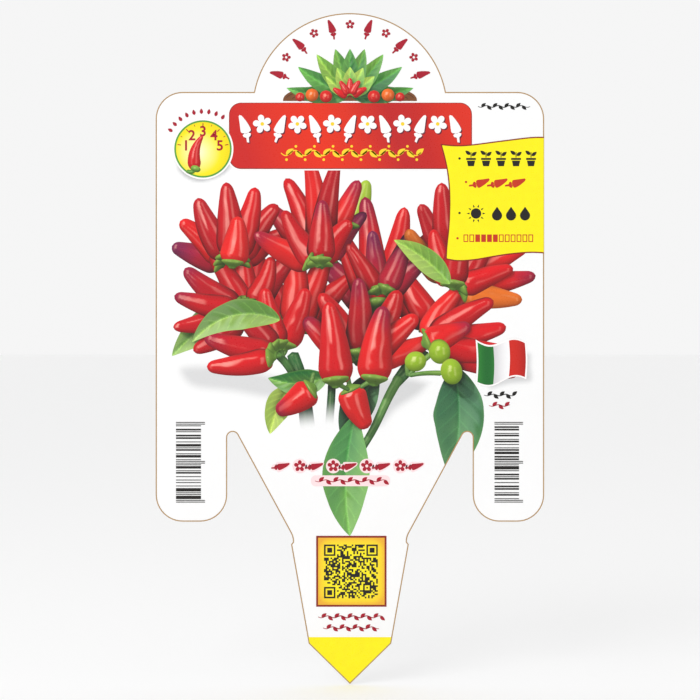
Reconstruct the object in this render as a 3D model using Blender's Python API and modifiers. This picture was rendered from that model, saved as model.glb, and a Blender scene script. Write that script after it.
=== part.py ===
"""Plant label: a die-cut plastic sheet with a domed top, two side arms and a
barbed stake that tapers to a pointed tip.

The sheet stands in the XZ plane with its printed face towards -Y. The origin is
on the stake's centre line at the barb, half way through the sheet. Lengths in
the constants below are millimetres.
"""

import math

import bpy

# ---- driving dimensions (mm) -------------------------------------------------
SHEET_T = 0.5            # thickness of the plastic sheet
EDGE_BREAK = 0.06        # softened edge left by the cutting die

BODY_HALF_W = 60.8       # half the width over the side edges
SHOULDER_Z = 141.2       # straight shoulders on both sides of the dome
CORNER_R = 8.45          # shoulders and both corners of each arm

DOME_R = 30.65           # round header above the shoulders
DOME_CENTRE_Z = 135.2

ARM_BOTTOM_Z = 6.7       # flat feet of the side arms
ARM_INNER_X = 38.35      # inner edge of each arm

NOTCH_R = 1.66           # stress-relief round at the top of each slot
NOTCH_CENTRE_X = ARM_INNER_X - NOTCH_R
NOTCH_CENTRE_Z = 33.1

NECK_START_X = 18.73     # lower end of the slanting edge
NECK_START_Z = 3.5
NECK_X = 17.86           # waist just above the barb
NECK_Z = 0.45
BARB_X = 18.47           # barb that locks under a slot or a compost surface
BARB_Z = -0.35
POINT_X = 12.95          # where the stake turns into its point
POINT_Z = -31.4
TIP_Z = -44.1

DOME_SEGMENTS = 64
CORNER_SEGMENTS = 12
NOTCH_SEGMENTS = 10
NECK_SEGMENTS = 5

MM = 0.001


def clear_scene():
    for obj in list(bpy.data.objects):
        bpy.data.objects.remove(obj, do_unlink=True)


def arc(cx, cz, radius, start_deg, end_deg, segments):
    """Points of a circular arc, both ends included."""
    points = []
    for i in range(segments + 1):
        a = math.radians(start_deg + (end_deg - start_deg) * i / segments)
        points.append((cx + radius * math.cos(a), cz + radius * math.sin(a)))
    return points


def quadratic(p0, p1, p2, segments):
    """Points of a quadratic Bezier curve, both ends included."""
    points = []
    for i in range(segments + 1):
        t = i / segments
        a, b, c = (1 - t) ** 2, 2 * t * (1 - t), t ** 2
        points.append((a * p0[0] + b * p1[0] + c * p2[0],
                       a * p0[1] + b * p1[1] + c * p2[1]))
    return points


def slot_tangent_deg():
    """Angle on the notch round where the slanting edge leaves it.

    The edge runs from the neck's start and touches the round on its inner,
    upper side.
    """
    dx = NOTCH_CENTRE_X - NECK_START_X
    dz = NOTCH_CENTRE_Z - NECK_START_Z
    centre_dir = math.atan2(dz, dx)
    spread = math.acos(NOTCH_R / math.hypot(dx, dz))
    return math.degrees(centre_dir + math.pi - spread)


def right_half():
    """Outline from the dome's foot on the right down to the tip."""
    pts = []
    foot = math.degrees(math.asin((SHOULDER_Z - DOME_CENTRE_Z) / DOME_R))
    pts += arc(0.0, DOME_CENTRE_Z, DOME_R, 90.0, foot, DOME_SEGMENTS // 2)
    pts += arc(BODY_HALF_W - CORNER_R, SHOULDER_Z - CORNER_R, CORNER_R,
               90.0, 0.0, CORNER_SEGMENTS)
    pts += arc(BODY_HALF_W - CORNER_R, ARM_BOTTOM_Z + CORNER_R, CORNER_R,
               0.0, -90.0, CORNER_SEGMENTS)
    pts += arc(ARM_INNER_X + CORNER_R, ARM_BOTTOM_Z + CORNER_R, CORNER_R,
               -90.0, -180.0, CORNER_SEGMENTS)
    pts += arc(NOTCH_CENTRE_X, NOTCH_CENTRE_Z, NOTCH_R,
               0.0, slot_tangent_deg(), NOTCH_SEGMENTS)
    slope = ((NOTCH_CENTRE_X - NECK_START_X)
             / (NOTCH_CENTRE_Z - NECK_START_Z))
    turn_z = NECK_START_Z - (NECK_START_X - NECK_X) / slope
    pts += quadratic((NECK_START_X, NECK_START_Z), (NECK_X, turn_z),
                     (NECK_X, NECK_Z), NECK_SEGMENTS)
    pts.append((BARB_X, BARB_Z))
    pts.append((POINT_X, POINT_Z))
    pts.append((0.0, TIP_Z))
    return pts


def outline():
    """Closed outline: the right half, then the left half mirrored."""
    right = right_half()
    left = [(-x, z) for x, z in reversed(right[1:-1])]
    return right + left


def plastic(name, colour, roughness):
    mat = bpy.data.materials.new(name)
    mat.use_nodes = True
    bsdf = mat.node_tree.nodes["Principled BSDF"]
    bsdf.inputs["Base Color"].default_value = (*colour, 1.0)
    bsdf.inputs["Roughness"].default_value = roughness
    bsdf.inputs["Metallic"].default_value = 0.0
    bsdf.inputs["IOR"].default_value = 1.49
    return mat


def sheet(name, points, thickness, edge_break, material, collection):
    """A flat sheet cut to an outline, stood up in the XZ plane."""
    curve = bpy.data.curves.new(name, "CURVE")
    curve.dimensions = "2D"
    curve.fill_mode = "BOTH"
    curve.extrude = thickness * MM / 2
    spline = curve.splines.new("POLY")
    spline.points.add(len(points) - 1)
    for point, (x, z) in zip(spline.points, points):
        point.co = (x * MM, z * MM, 0.0, 1.0)
    spline.use_cyclic_u = True
    curve.materials.append(material)

    obj = bpy.data.objects.new(name, curve)
    obj.rotation_euler = (math.radians(90.0), 0.0, 0.0)
    collection.objects.link(obj)

    weld = obj.modifiers.new("weld_caps", "WELD")
    weld.merge_threshold = 0.00001
    bevel = obj.modifiers.new("die_cut_edge", "BEVEL")
    bevel.width = edge_break * MM
    bevel.segments = 1
    bevel.limit_method = "ANGLE"
    bevel.angle_limit = math.radians(50.0)
    return obj


def main():
    clear_scene()
    collection = bpy.data.collections.new("plant_label")
    bpy.context.scene.collection.children.link(collection)
    white = plastic("label_white_plastic", (0.93, 0.93, 0.925), 0.36)
    sheet("label_card", outline(), SHEET_T, EDGE_BREAK, white, collection)


main()
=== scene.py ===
"""Looks of a die-cut, printed plastic plant label.

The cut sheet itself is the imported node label_card. Everything printed on its
front face is built here as thin ink films that ride on it: a bunch of chilli
peppers, a title band, a heat dial, a care flag, bar patterns, a code-like
panel and the yellow point. All of it is computed geometry and node materials.

Positions on the label are written on a layout grid. One grid unit is
0.3128 mm, u runs right and v runs down, and (349.93, 543.2) is the origin of
the part.
"""

import math

import bpy
import numpy as np
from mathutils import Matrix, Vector
from mathutils.geometry import delaunay_2d_cdt, tessellate_polygon


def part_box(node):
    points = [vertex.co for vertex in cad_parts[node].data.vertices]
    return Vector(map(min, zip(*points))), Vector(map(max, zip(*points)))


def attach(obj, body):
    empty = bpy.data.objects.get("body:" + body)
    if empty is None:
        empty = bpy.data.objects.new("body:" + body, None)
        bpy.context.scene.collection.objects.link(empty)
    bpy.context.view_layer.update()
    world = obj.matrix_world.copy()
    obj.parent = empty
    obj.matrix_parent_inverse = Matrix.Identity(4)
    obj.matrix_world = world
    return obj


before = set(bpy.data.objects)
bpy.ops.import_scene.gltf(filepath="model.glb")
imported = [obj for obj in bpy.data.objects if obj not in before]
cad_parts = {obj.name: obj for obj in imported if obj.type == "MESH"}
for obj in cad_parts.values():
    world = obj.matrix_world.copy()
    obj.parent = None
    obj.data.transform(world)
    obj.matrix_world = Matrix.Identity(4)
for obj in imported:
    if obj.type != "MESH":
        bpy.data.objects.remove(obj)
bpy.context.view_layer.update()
CARD_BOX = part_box("label_card")
FRONT_Y = float(CARD_BOX[0][1])      # the printed face, in metres

UNIT = 0.3128                        # mm per layout unit
U0, V0 = 349.93, 543.2
FILM = 0.022                         # mm from one ink layer to the next


def mm(u, v):
    """Layout units to label millimetres (x right, z up)."""
    return ((u - U0) * UNIT, (V0 - v) * UNIT)


def mm_list(points):
    return [mm(u, v) for u, v in points]


def lin(rgb):
    """sRGB 0..255 to linear 0..1."""
    c = np.asarray(rgb, float) / 255.0
    return np.where(c <= 0.04045, c / 12.92, ((c + 0.055) / 1.055) ** 2.4)


# ---- the cut outline, as the sheet is cut ----------------------------------

def arc(cx, cz, r, a0, a1, n):
    return [(cx + r * math.cos(math.radians(a0 + (a1 - a0) * i / n)),
             cz + r * math.sin(math.radians(a0 + (a1 - a0) * i / n)))
            for i in range(n + 1)]


def bezier(p0, p1, p2, n):
    out = []
    for i in range(n + 1):
        t = i / n
        a, b, c = (1 - t) ** 2, 2 * t * (1 - t), t * t
        out.append((a * p0[0] + b * p1[0] + c * p2[0],
                    a * p0[1] + b * p1[1] + c * p2[1]))
    return out


def cut_outline():
    half_w, shoulder, corner = 60.8, 141.2, 8.45
    dome_r, dome_z = 30.65, 135.2
    arm_z, arm_x, notch_r = 6.7, 38.35, 1.66
    nx, nz = arm_x - notch_r, 33.1
    sx, sz, wx, wz = 18.73, 3.5, 17.86, 0.45
    foot = math.degrees(math.asin((shoulder - dome_z) / dome_r))
    pts = arc(0, dome_z, dome_r, 90, foot, 32)
    pts += arc(half_w - corner, shoulder - corner, corner, 90, 0, 12)
    pts += arc(half_w - corner, arm_z + corner, corner, 0, -90, 12)
    pts += arc(arm_x + corner, arm_z + corner, corner, -90, -180, 12)
    dx, dz = nx - sx, nz - sz
    tangent = math.degrees(math.atan2(dz, dx) + math.pi
                           - math.acos(notch_r / math.hypot(dx, dz)))
    pts += arc(nx, nz, notch_r, 0, tangent, 10)
    turn = sz - (sx - wx) * dz / dx
    pts += bezier((sx, sz), (wx, turn), (wx, wz), 5)
    pts += [(18.47, -0.35), (12.95, -31.4), (0.0, -44.1)]
    left = [(-x, z) for x, z in reversed(pts[1:-1])]
    return pts + left


def inset(points, d):
    """Moves a closed outline inwards by d (the outline runs clockwise)."""
    n = len(points)
    out = []
    for i in range(n):
        ax, az = points[i - 1]
        bx, bz = points[i]
        cx, cz = points[(i + 1) % n]
        e1 = np.array([bx - ax, bz - az])
        e2 = np.array([cx - bx, cz - bz])
        e1 /= max(np.hypot(*e1), 1e-9)
        e2 /= max(np.hypot(*e2), 1e-9)
        n1 = np.array([e1[1], -e1[0]])
        n2 = np.array([e2[1], -e2[0]])
        m = n1 + n2
        m /= max(np.hypot(*m), 1e-9)
        k = d / max(float(m @ n1), 0.35)
        out.append((bx + m[0] * k, bz + m[1] * k))
    return out


CUT = cut_outline()


# ---- small numeric tools -----------------------------------------------------

def inside(poly, pts):
    """Even-odd test of pts (N,2) against a closed polygon."""
    poly = np.asarray(poly, float)
    pts = np.asarray(pts, float)
    hit = np.zeros(len(pts), bool)
    lo, hi = poly.min(0), poly.max(0)
    near = np.nonzero(((pts >= lo) & (pts <= hi)).all(1))[0]
    if not len(near):
        return hit
    x1, y1 = poly[:, 0], poly[:, 1]
    x2, y2 = np.roll(x1, -1), np.roll(y1, -1)
    for part in np.array_split(near, max(1, len(near) * len(poly) // 2000000 + 1)):
        px = pts[part, 0][:, None]
        py = pts[part, 1][:, None]
        cross = (y1 > py) != (y2 > py)
        with np.errstate(divide="ignore", invalid="ignore"):
            xi = x1 + (py - y1) * (x2 - x1) / (y2 - y1)
        hit[part] = ((cross & (px < xi)).sum(1) % 2).astype(bool)
    return hit


def hash01(ix, iy, seed):
    h = (ix.astype(np.int64) * 374761393 + iy.astype(np.int64) * 668265263
         + seed * 974634777) & 0xFFFFFFFF
    h = ((h ^ (h >> 13)) * 1274126177) & 0xFFFFFFFF
    return ((h ^ (h >> 16)) & 0xFFFF) / 65535.0


def noise(x, y, seed=0):
    """Smooth value noise, -1..1."""
    x = np.asarray(x, float)
    y = np.asarray(y, float)
    ix, iy = np.floor(x), np.floor(y)
    fx, fy = x - ix, y - iy
    fx = fx * fx * (3 - 2 * fx)
    fy = fy * fy * (3 - 2 * fy)
    a = hash01(ix, iy, seed)
    b = hash01(ix + 1, iy, seed)
    c = hash01(ix, iy + 1, seed)
    d = hash01(ix + 1, iy + 1, seed)
    return ((a * (1 - fx) + b * fx) * (1 - fy) + (c * (1 - fx) + d * fx) * fy) * 2 - 1


def fbm(x, y, seed=0, octaves=3):
    total, amp, out = 0.0, 1.0, 0.0
    for k in range(octaves):
        out = out + amp * noise(np.asarray(x) * 2 ** k, np.asarray(y) * 2 ** k, seed + 17 * k)
        total += amp
        amp *= 0.5
    return out / total


def smooth(a, b, x):
    t = np.clip((np.asarray(x, float) - a) / (b - a), 0, 1)
    return t * t * (3 - 2 * t)


def unit(v):
    return v / np.maximum(np.linalg.norm(v, axis=-1, keepdims=True), 1e-9)


# ---- the painted picture: elements -------------------------------------------

LIGHT = unit(np.array([-0.50, 0.55, 0.67]))
FILL = unit(np.array([0.75, -0.05, 0.66]))
# soft boxes seen in the gloss: direction, half sizes, strength, tint
BOXES = [
    (unit(np.array([-0.42, 0.42, 0.80])), 0.20, 0.42, 0.80, np.array([1.0, 0.90, 0.86])),
    (unit(np.array([0.62, 0.10, 0.78])), 0.10, 0.55, 0.34, np.array([1.0, 0.84, 0.80])),
    (unit(np.array([-0.80, -0.15, 0.58])), 0.10, 0.50, 0.22, np.array([1.0, 0.80, 0.78])),
]


def soft_boxes(n, gain=1.0, spread=1.0):
    """Gloss of the soft boxes on normals n (N,3) seen from +z: weights and tint."""
    refl = 2 * n[:, 2:3] * n - np.array([0.0, 0.0, 1.0])
    total = np.zeros((len(n), 3))
    for s, hw, hh, k, tint in BOXES:
        a = unit(np.cross(np.array([0.0, 1.0, 0.0]), s))
        b = np.cross(s, a)
        front = refl @ s
        ok = front > 0.05
        p = np.where(ok, (refl @ a) / np.maximum(front, 0.05), 9.0)
        q = np.where(ok, (refl @ b) / np.maximum(front, 0.05), 9.0)
        e = 0.16 * spread
        w = (1 - smooth(hw, hw + e, np.abs(p))) * (1 - smooth(hh, hh + e, np.abs(q)))
        total += (k * gain) * w[:, None] * tint
    return total


class Strand:
    """A solid swept along a curved axis: a pod, a stem, a calyx or a fruit."""

    def __init__(self, kind, axis, radius, z0, tilt=0.0, group="centre", **look):
        self.kind, self.z0, self.tilt, self.group = kind, z0, tilt, group
        self.look = look
        self.axis = np.asarray(axis, float)
        seg = np.diff(self.axis, axis=0)
        self.seg_len = np.maximum(np.hypot(seg[:, 0], seg[:, 1]), 1e-6)
        self.s = np.concatenate([[0], np.cumsum(self.seg_len)])
        self.length = self.s[-1]
        self.radius = radius
        t = self.s / self.length
        tang = np.gradient(self.axis, self.s, axis=0)
        tang = unit(tang)
        perp = np.stack([-tang[:, 1], tang[:, 0]], 1)
        r = radius(t)
        left = self.axis + perp * r[:, None]
        right = self.axis - perp * r[:, None]
        loop = np.concatenate([left, right[::-1]])
        keep = [0]
        for i in range(1, len(loop)):
            if np.hypot(*(loop[i] - loop[keep[-1]])) > 0.04:
                keep.append(i)
        if np.hypot(*(loop[keep[-1]] - loop[keep[0]])) < 0.04:
            keep.pop()
        self.outline = loop[keep]

    def local(self, pts):
        """Per point: place along the axis t, signed offset u (-1..1), tangent,
        side vector, radius and its slope."""
        n_seg = len(self.seg_len)
        best = np.full(len(pts), 1e9)
        bt = np.zeros(len(pts))
        bd = np.zeros(len(pts))
        tang = np.zeros((len(pts), 2))
        for i in range(n_seg):
            a = self.axis[i]
            e = (self.axis[i + 1] - a) / self.seg_len[i]
            rel = pts - a
            k = np.clip(rel @ e, 0, self.seg_len[i])
            foot = a + k[:, None] * e
            dv = pts - foot
            dist = np.hypot(dv[:, 0], dv[:, 1])
            side = dv @ np.array([-e[1], e[0]])
            better = dist < best - 1e-9
            best = np.where(better, dist, best)
            bt = np.where(better, (self.s[i] + k) / self.length, bt)
            bd = np.where(better, np.sign(side) * dist, bd)
            tang = np.where(better[:, None], e, tang)
        r = np.maximum(self.radius(bt), 0.05)
        h = 0.01
        slope = (self.radius(np.clip(bt + h, 0, 1)) - self.radius(np.clip(bt - h, 0, 1)))
        slope = slope / (2 * h * self.length)
        u = np.clip(bd / r, -0.995, 0.995)
        # smooth the tangent along the bend
        tb = np.stack([np.interp(bt * self.length, self.s, g) for g in
                       np.gradient(self.axis, self.s, axis=0).T], 1)
        tb = unit(tb)
        return bt, u, tb, np.stack([-tb[:, 1], tb[:, 0]], 1), r, slope

    def height(self, pts):
        t, u, tb, nb, r, slope = self.local(pts)
        return self.z0 + r * np.sqrt(1 - u * u) + self.tilt * (t - 0.5) * self.length

    def normal(self, t, u, tb, nb, r, slope, bump=0.0, seed=0):
        th = math.atan(self.tilt)
        uz = np.sqrt(1 - u * u)[:, None]
        t3 = np.concatenate([tb * math.cos(th), np.full((len(t), 1), math.sin(th))], 1)
        up = np.concatenate([-tb * math.sin(th), np.full((len(t), 1), math.cos(th))], 1)
        side = np.concatenate([nb, np.zeros((len(t), 1))], 1)
        s = np.clip(slope, -2.5, 2.5)[:, None]
        n = u[:, None] * side + uz * up - s * t3
        if bump:
            along = t * self.length
            g1 = noise(along * 0.22, u * 2.3, seed) * bump
            g2 = noise(along * 0.35 + 7, u * 1.7 + 3, seed + 5) * bump * 0.7
            n = unit(n)
            n = n + g1[:, None] * side + g2[:, None] * t3
        return unit(n)


def curve_axis(base, tip, bend, n=26):
    """Axis from base to tip (mm), bowed sideways by bend mm, finer at its ends."""
    base, tip = np.asarray(base, float), np.asarray(tip, float)
    d = tip - base
    length = np.hypot(*d)
    perp = np.array([-d[1], d[0]]) / length
    mid = (base + tip) / 2 + perp * bend * 2
    t = 0.5 - 0.5 * np.cos(np.linspace(0, math.pi, n))
    t = 0.5 * t + 0.5 * np.linspace(0, 1, n)
    a, b, c = (1 - t) ** 2, 2 * t * (1 - t), t * t
    return a[:, None] * base + b[:, None] * mid + c[:, None] * tip


def pod_radius(half_w, shape=1.55, taper=0.66, full=0.20):
    def f(t):
        t = np.asarray(t, float)
        base = np.sqrt(np.clip(1 - (1 - np.clip(t / full, 0, 1)) ** 2, 0, 1))
        base = 0.35 * np.clip(t / 0.03, 0, 1) ** 0.5 * (1 - smooth(0, full, t)) + base * (0.65 + 0.35 * smooth(0, full, t))
        body = 1 - taper * np.clip((t - 0.16) / 0.84, 0, 1) ** shape
        end = np.sqrt(np.clip(1 - (np.clip((t - 0.90) / 0.10, 0, 1)) ** 2, 0, 1))
        return half_w * base * body * end
    return f


def round_radius(half_w):
    def f(t):
        t = np.asarray(t, float)
        return half_w * np.sqrt(np.clip(1 - (2 * t - 1) ** 2, 0, 1))
    return f


def stem_radius(w0, w1):
    def f(t):
        t = np.asarray(t, float)
        ends = np.sqrt(np.clip(1 - (1 - np.clip(t / 0.04, 0, 1)) ** 2, 0, 1)) * \
            np.sqrt(np.clip(1 - (np.clip((t - 0.96) / 0.04, 0, 1)) ** 2, 0, 1))
        return (w0 + (w1 - w0) * t) * ends
    return f


class Leaf:
    """A flat, folded blade round a curved midrib."""
    kind = "leaf"

    def __init__(self, axis, half_w, z0, group="leaves", skew=0.0, widest=0.42, **look):
        self.axis = np.asarray(axis, float)
        self.half_w, self.z0, self.group, self.look = half_w, z0, group, look
        self.skew, self.widest = skew, widest
        seg = np.diff(self.axis, axis=0)
        self.seg_len = np.maximum(np.hypot(seg[:, 0], seg[:, 1]), 1e-6)
        self.s = np.concatenate([[0], np.cumsum(self.seg_len)])
        self.length = self.s[-1]
        t = self.s / self.length
        tang = unit(np.gradient(self.axis, self.s, axis=0))
        perp = np.stack([-tang[:, 1], tang[:, 0]], 1)
        seed = look.get("seed", 1)
        wob = 1 + 0.05 * noise(t * 7, t * 0, seed) * np.sin(t * math.pi)
        left = self.axis + perp * (self.width(t, 1) * wob)[:, None]
        wob = 1 + 0.05 * noise(t * 7 + 9, t * 0, seed) * np.sin(t * math.pi)
        right = self.axis - perp * (self.width(t, -1) * wob)[:, None]
        loop = np.concatenate([left, right[::-1]])
        keep = [0]
        for i in range(1, len(loop)):
            if np.hypot(*(loop[i] - loop[keep[-1]])) > 0.05:
                keep.append(i)
        if np.hypot(*(loop[keep[-1]] - loop[keep[0]])) < 0.05:
            keep.pop()
        self.outline = loop[keep]

    def width(self, t, side):
        t = np.asarray(t, float)
        k = math.log(0.5) / math.log(self.widest)
        w = np.sin(math.pi * np.clip(t, 0, 1) ** k) ** 0.85
        return self.half_w * w * (1 + self.skew * side)

    local_base = Strand.local

    def local(self, pts):
        self.radius = lambda t: np.maximum(self.width(t, 1), 0.05)
        t, u, tb, nb, r, slope = Strand.local(self, pts)
        return t, u, tb, nb, r, slope

    def height(self, pts):
        t, u, tb, nb, r, slope = self.local(pts)
        return self.z0 + 0.25 * np.abs(u) * self.half_w


class SoftShadow:
    """A printed grey shadow that fades out to the bare sheet."""
    kind = "shadow"

    def __init__(self, outline, fade, dark, z0=0.01, group="shadow"):
        self.outline = np.asarray(outline, float)
        self.fade, self.dark, self.z0, self.group = fade, dark, z0, group
        self.look = {}

    def height(self, pts):
        return np.zeros(len(pts)) + self.z0


def edge_distance(poly, pts):
    poly = np.asarray(poly, float)
    a, b = poly, np.roll(poly, -1, 0)
    best = np.full(len(pts), 1e9)
    for i in range(len(a)):
        e = b[i] - a[i]
        k = np.clip(((pts - a[i]) @ e) / max(float(e @ e), 1e-12), 0, 1)
        d = pts - (a[i] + k[:, None] * e)
        best = np.minimum(best, np.hypot(d[:, 0], d[:, 1]))
    return best


def paint_shadow(el, pts, occl, shade):
    d = edge_distance(el.outline, pts)
    w = smooth(0, el.fade, d) ** 1.3
    tone = np.clip(1 - el.dark * w, 0, 1)
    return PAPER[None, :] * tone[:, None] ** np.array([1.0, 0.99, 0.97])[None, :]


# ---- painters: albedo of an element at points ---------------------------------

def paint_pod(el, pts, occl, shade):
    look = el.look
    seed = look["seed"]
    t, u, tb, nb, r, slope = el.local(pts)
    n = el.normal(t, u, tb, nb, r, slope, bump=0.10, seed=seed)
    red = look["colour"]
    base = np.repeat(lin(red)[None, :], len(t), 0)
    along = t * el.length
    # colour drifts: purple towards the tip
    if look.get("blush") is not None:
        w = smooth(look.get("blush_from", 0.45), 1.05, t + 0.12 * fbm(along * 0.2, u * 1.5, seed + 3))
        base = base * (1 - w[:, None]) + lin(look["blush"])[None, :] * w[:, None]
    streak = fbm(along * 0.10, u * 3.2, seed + 9, 3)
    base = base * (1 + 0.16 * streak)[:, None]
    deep = lin(look.get("deep", (120, 4, 16)))
    lit = np.clip((n @ LIGHT + 0.30) / 1.30, 0, 1) ** 1.15
    fill = np.clip(n @ FILL, 0, 1)
    k = 0.20 + 0.92 * lit * shade + 0.16 * fill
    k = k * occl
    col = base * k[:, None]
    # light bleeding through the flesh keeps the dark side red, not black
    col = col + deep * (0.30 * (1 - lit) * occl)[:, None]
    gloss = soft_boxes(n, gain=look.get("gloss", 1.0), spread=1.2 + 0.4 * look.get("soft", 0.5))
    break_up = 0.72 + 0.42 * fbm(along * 0.30, u * 2.6, seed + 21, 3)
    gloss = gloss * np.clip(break_up, 0.15, 1.15)[:, None] * (0.35 + 0.65 * shade)[:, None] * (occl ** 1.5)[:, None]
    sheen = (1 - n[:, 2]) ** 3 * 0.16 * np.clip(n[:, 1] + 0.35, 0, 1)
    tint = lin(look.get("shine", (255, 196, 186)))
    col = col * (1 - 0.55 * gloss.max(1))[:, None] + gloss * tint * 0.80 + sheen[:, None] * lin((255, 150, 140)) * occl[:, None]
    return np.clip(col, 0, 1)


def paint_green(el, pts, occl, shade):
    look = el.look
    seed = look.get("seed", 3)
    t, u, tb, nb, r, slope = el.local(pts)
    n = el.normal(t, u, tb, nb, r, slope, bump=0.10, seed=seed)
    a, b = lin(look["colour"]), lin(look.get("colour2", look["colour"]))
    w = smooth(0.0, 1.0, t)[:, None]
    base = a * (1 - w) + b * w
    base = base * (1 + 0.18 * fbm(t * el.length * 0.4, u * 3, seed, 3))[:, None]
    lit = np.clip((n @ LIGHT + 0.30) / 1.30, 0, 1)
    k = (0.26 + 0.86 * lit * shade + 0.14 * np.clip(n @ FILL, 0, 1)) * occl
    col = base * k[:, None]
    gloss = soft_boxes(n, gain=look.get("gloss", 0.35), spread=2.2) * (occl * shade)[:, None]
    col = col + gloss * lin((236, 250, 200)) * 0.6
    fade = look.get("fade")
    if fade is not None:
        f = smooth(fade[0], fade[1], t)[:, None]
        col = col * (1 - f) + PAPER * f
    return np.clip(col, 0, 1)


def paint_leaf(el, pts, occl, shade):
    look = el.look
    seed = look.get("seed", 5)
    t, u, tb, nb, r, slope = el.local(pts)
    along = t * el.length
    side = np.sign(u)
    au = np.abs(u)
    light, dark = lin(look["light"]), lin(look["dark"])
    mix = smooth(-0.6, 0.8, look.get("grade", 0.0) * (t * 2 - 1) + 0.55 * fbm(along * 0.10, u * 1.1, seed, 3)
                 + look.get("split", 0.25) * side)
    base = dark * (1 - mix[:, None]) + light * mix[:, None]
    # veins sweep forward from the midrib
    reach = along - au * el.half_w * 0.95 + 0.25 * noise(along * 0.3, u, seed)
    pitch = max(el.length / 7.5, 2.2)
    ph = (reach + (side > 0) * pitch * 0.42) / pitch
    vein = np.abs(ph - np.round(ph)) * pitch
    vein_w = 0.16 * (1.15 - au)
    vein_k = (1 - smooth(vein_w, vein_w + 0.22, vein)) * (au > 0.04) * (1 - smooth(0.75, 0.98, au))
    rib = 1 - smooth(0.14, 0.50, au * r) * 1.0
    bulge = np.sin(ph * 2 * math.pi) * 0.16 * (1 - au)
    fold = look.get("fold", 0.35)
    n = np.zeros((len(t), 3))
    tilt_side = -side * fold * (0.5 + 0.5 * smooth(0, 0.35, au)) + look.get("roll", 0.0)
    n[:, :2] = nb * tilt_side[:, None] + tb * (bulge + look.get("pitch", 0.0) + 0.30 * fbm(along * 0.12, u * 0.8, seed + 31, 2))[:, None]
    n[:, 2] = 1.0
    n = unit(n)
    lit = np.clip((n @ LIGHT + 0.25) / 1.25, 0, 1)
    k = (0.22 + 0.95 * lit * shade + 0.10 * np.clip(n @ FILL, 0, 1)) * occl
    col = base * k[:, None]
    col = col * (1 + 0.22 * vein_k + 0.42 * rib)[:, None] + (light * 0.07) * (vein_k + rib * 1.2)[:, None]
    gloss = soft_boxes(n, gain=look.get("gloss", 0.30), spread=3.2) * (occl * shade)[:, None]
    col = col * (1 - 0.4 * gloss.max(1))[:, None] + gloss * lin(look.get("sheen", (206, 232, 214))) * 0.55
    edge = smooth(0.86, 0.98, au) * 0.30
    col = col * (1 - edge)[:, None] + (light * k[:, None] * 1.15) * edge[:, None]
    return np.clip(col, 0, 1)


PAPER = lin((247, 247, 247))

PAINT = {"pod": paint_pod, "green": paint_green, "leaf": paint_leaf, "shadow": paint_shadow}


# ---- composition of the bunch -----------------------------------------------

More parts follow.
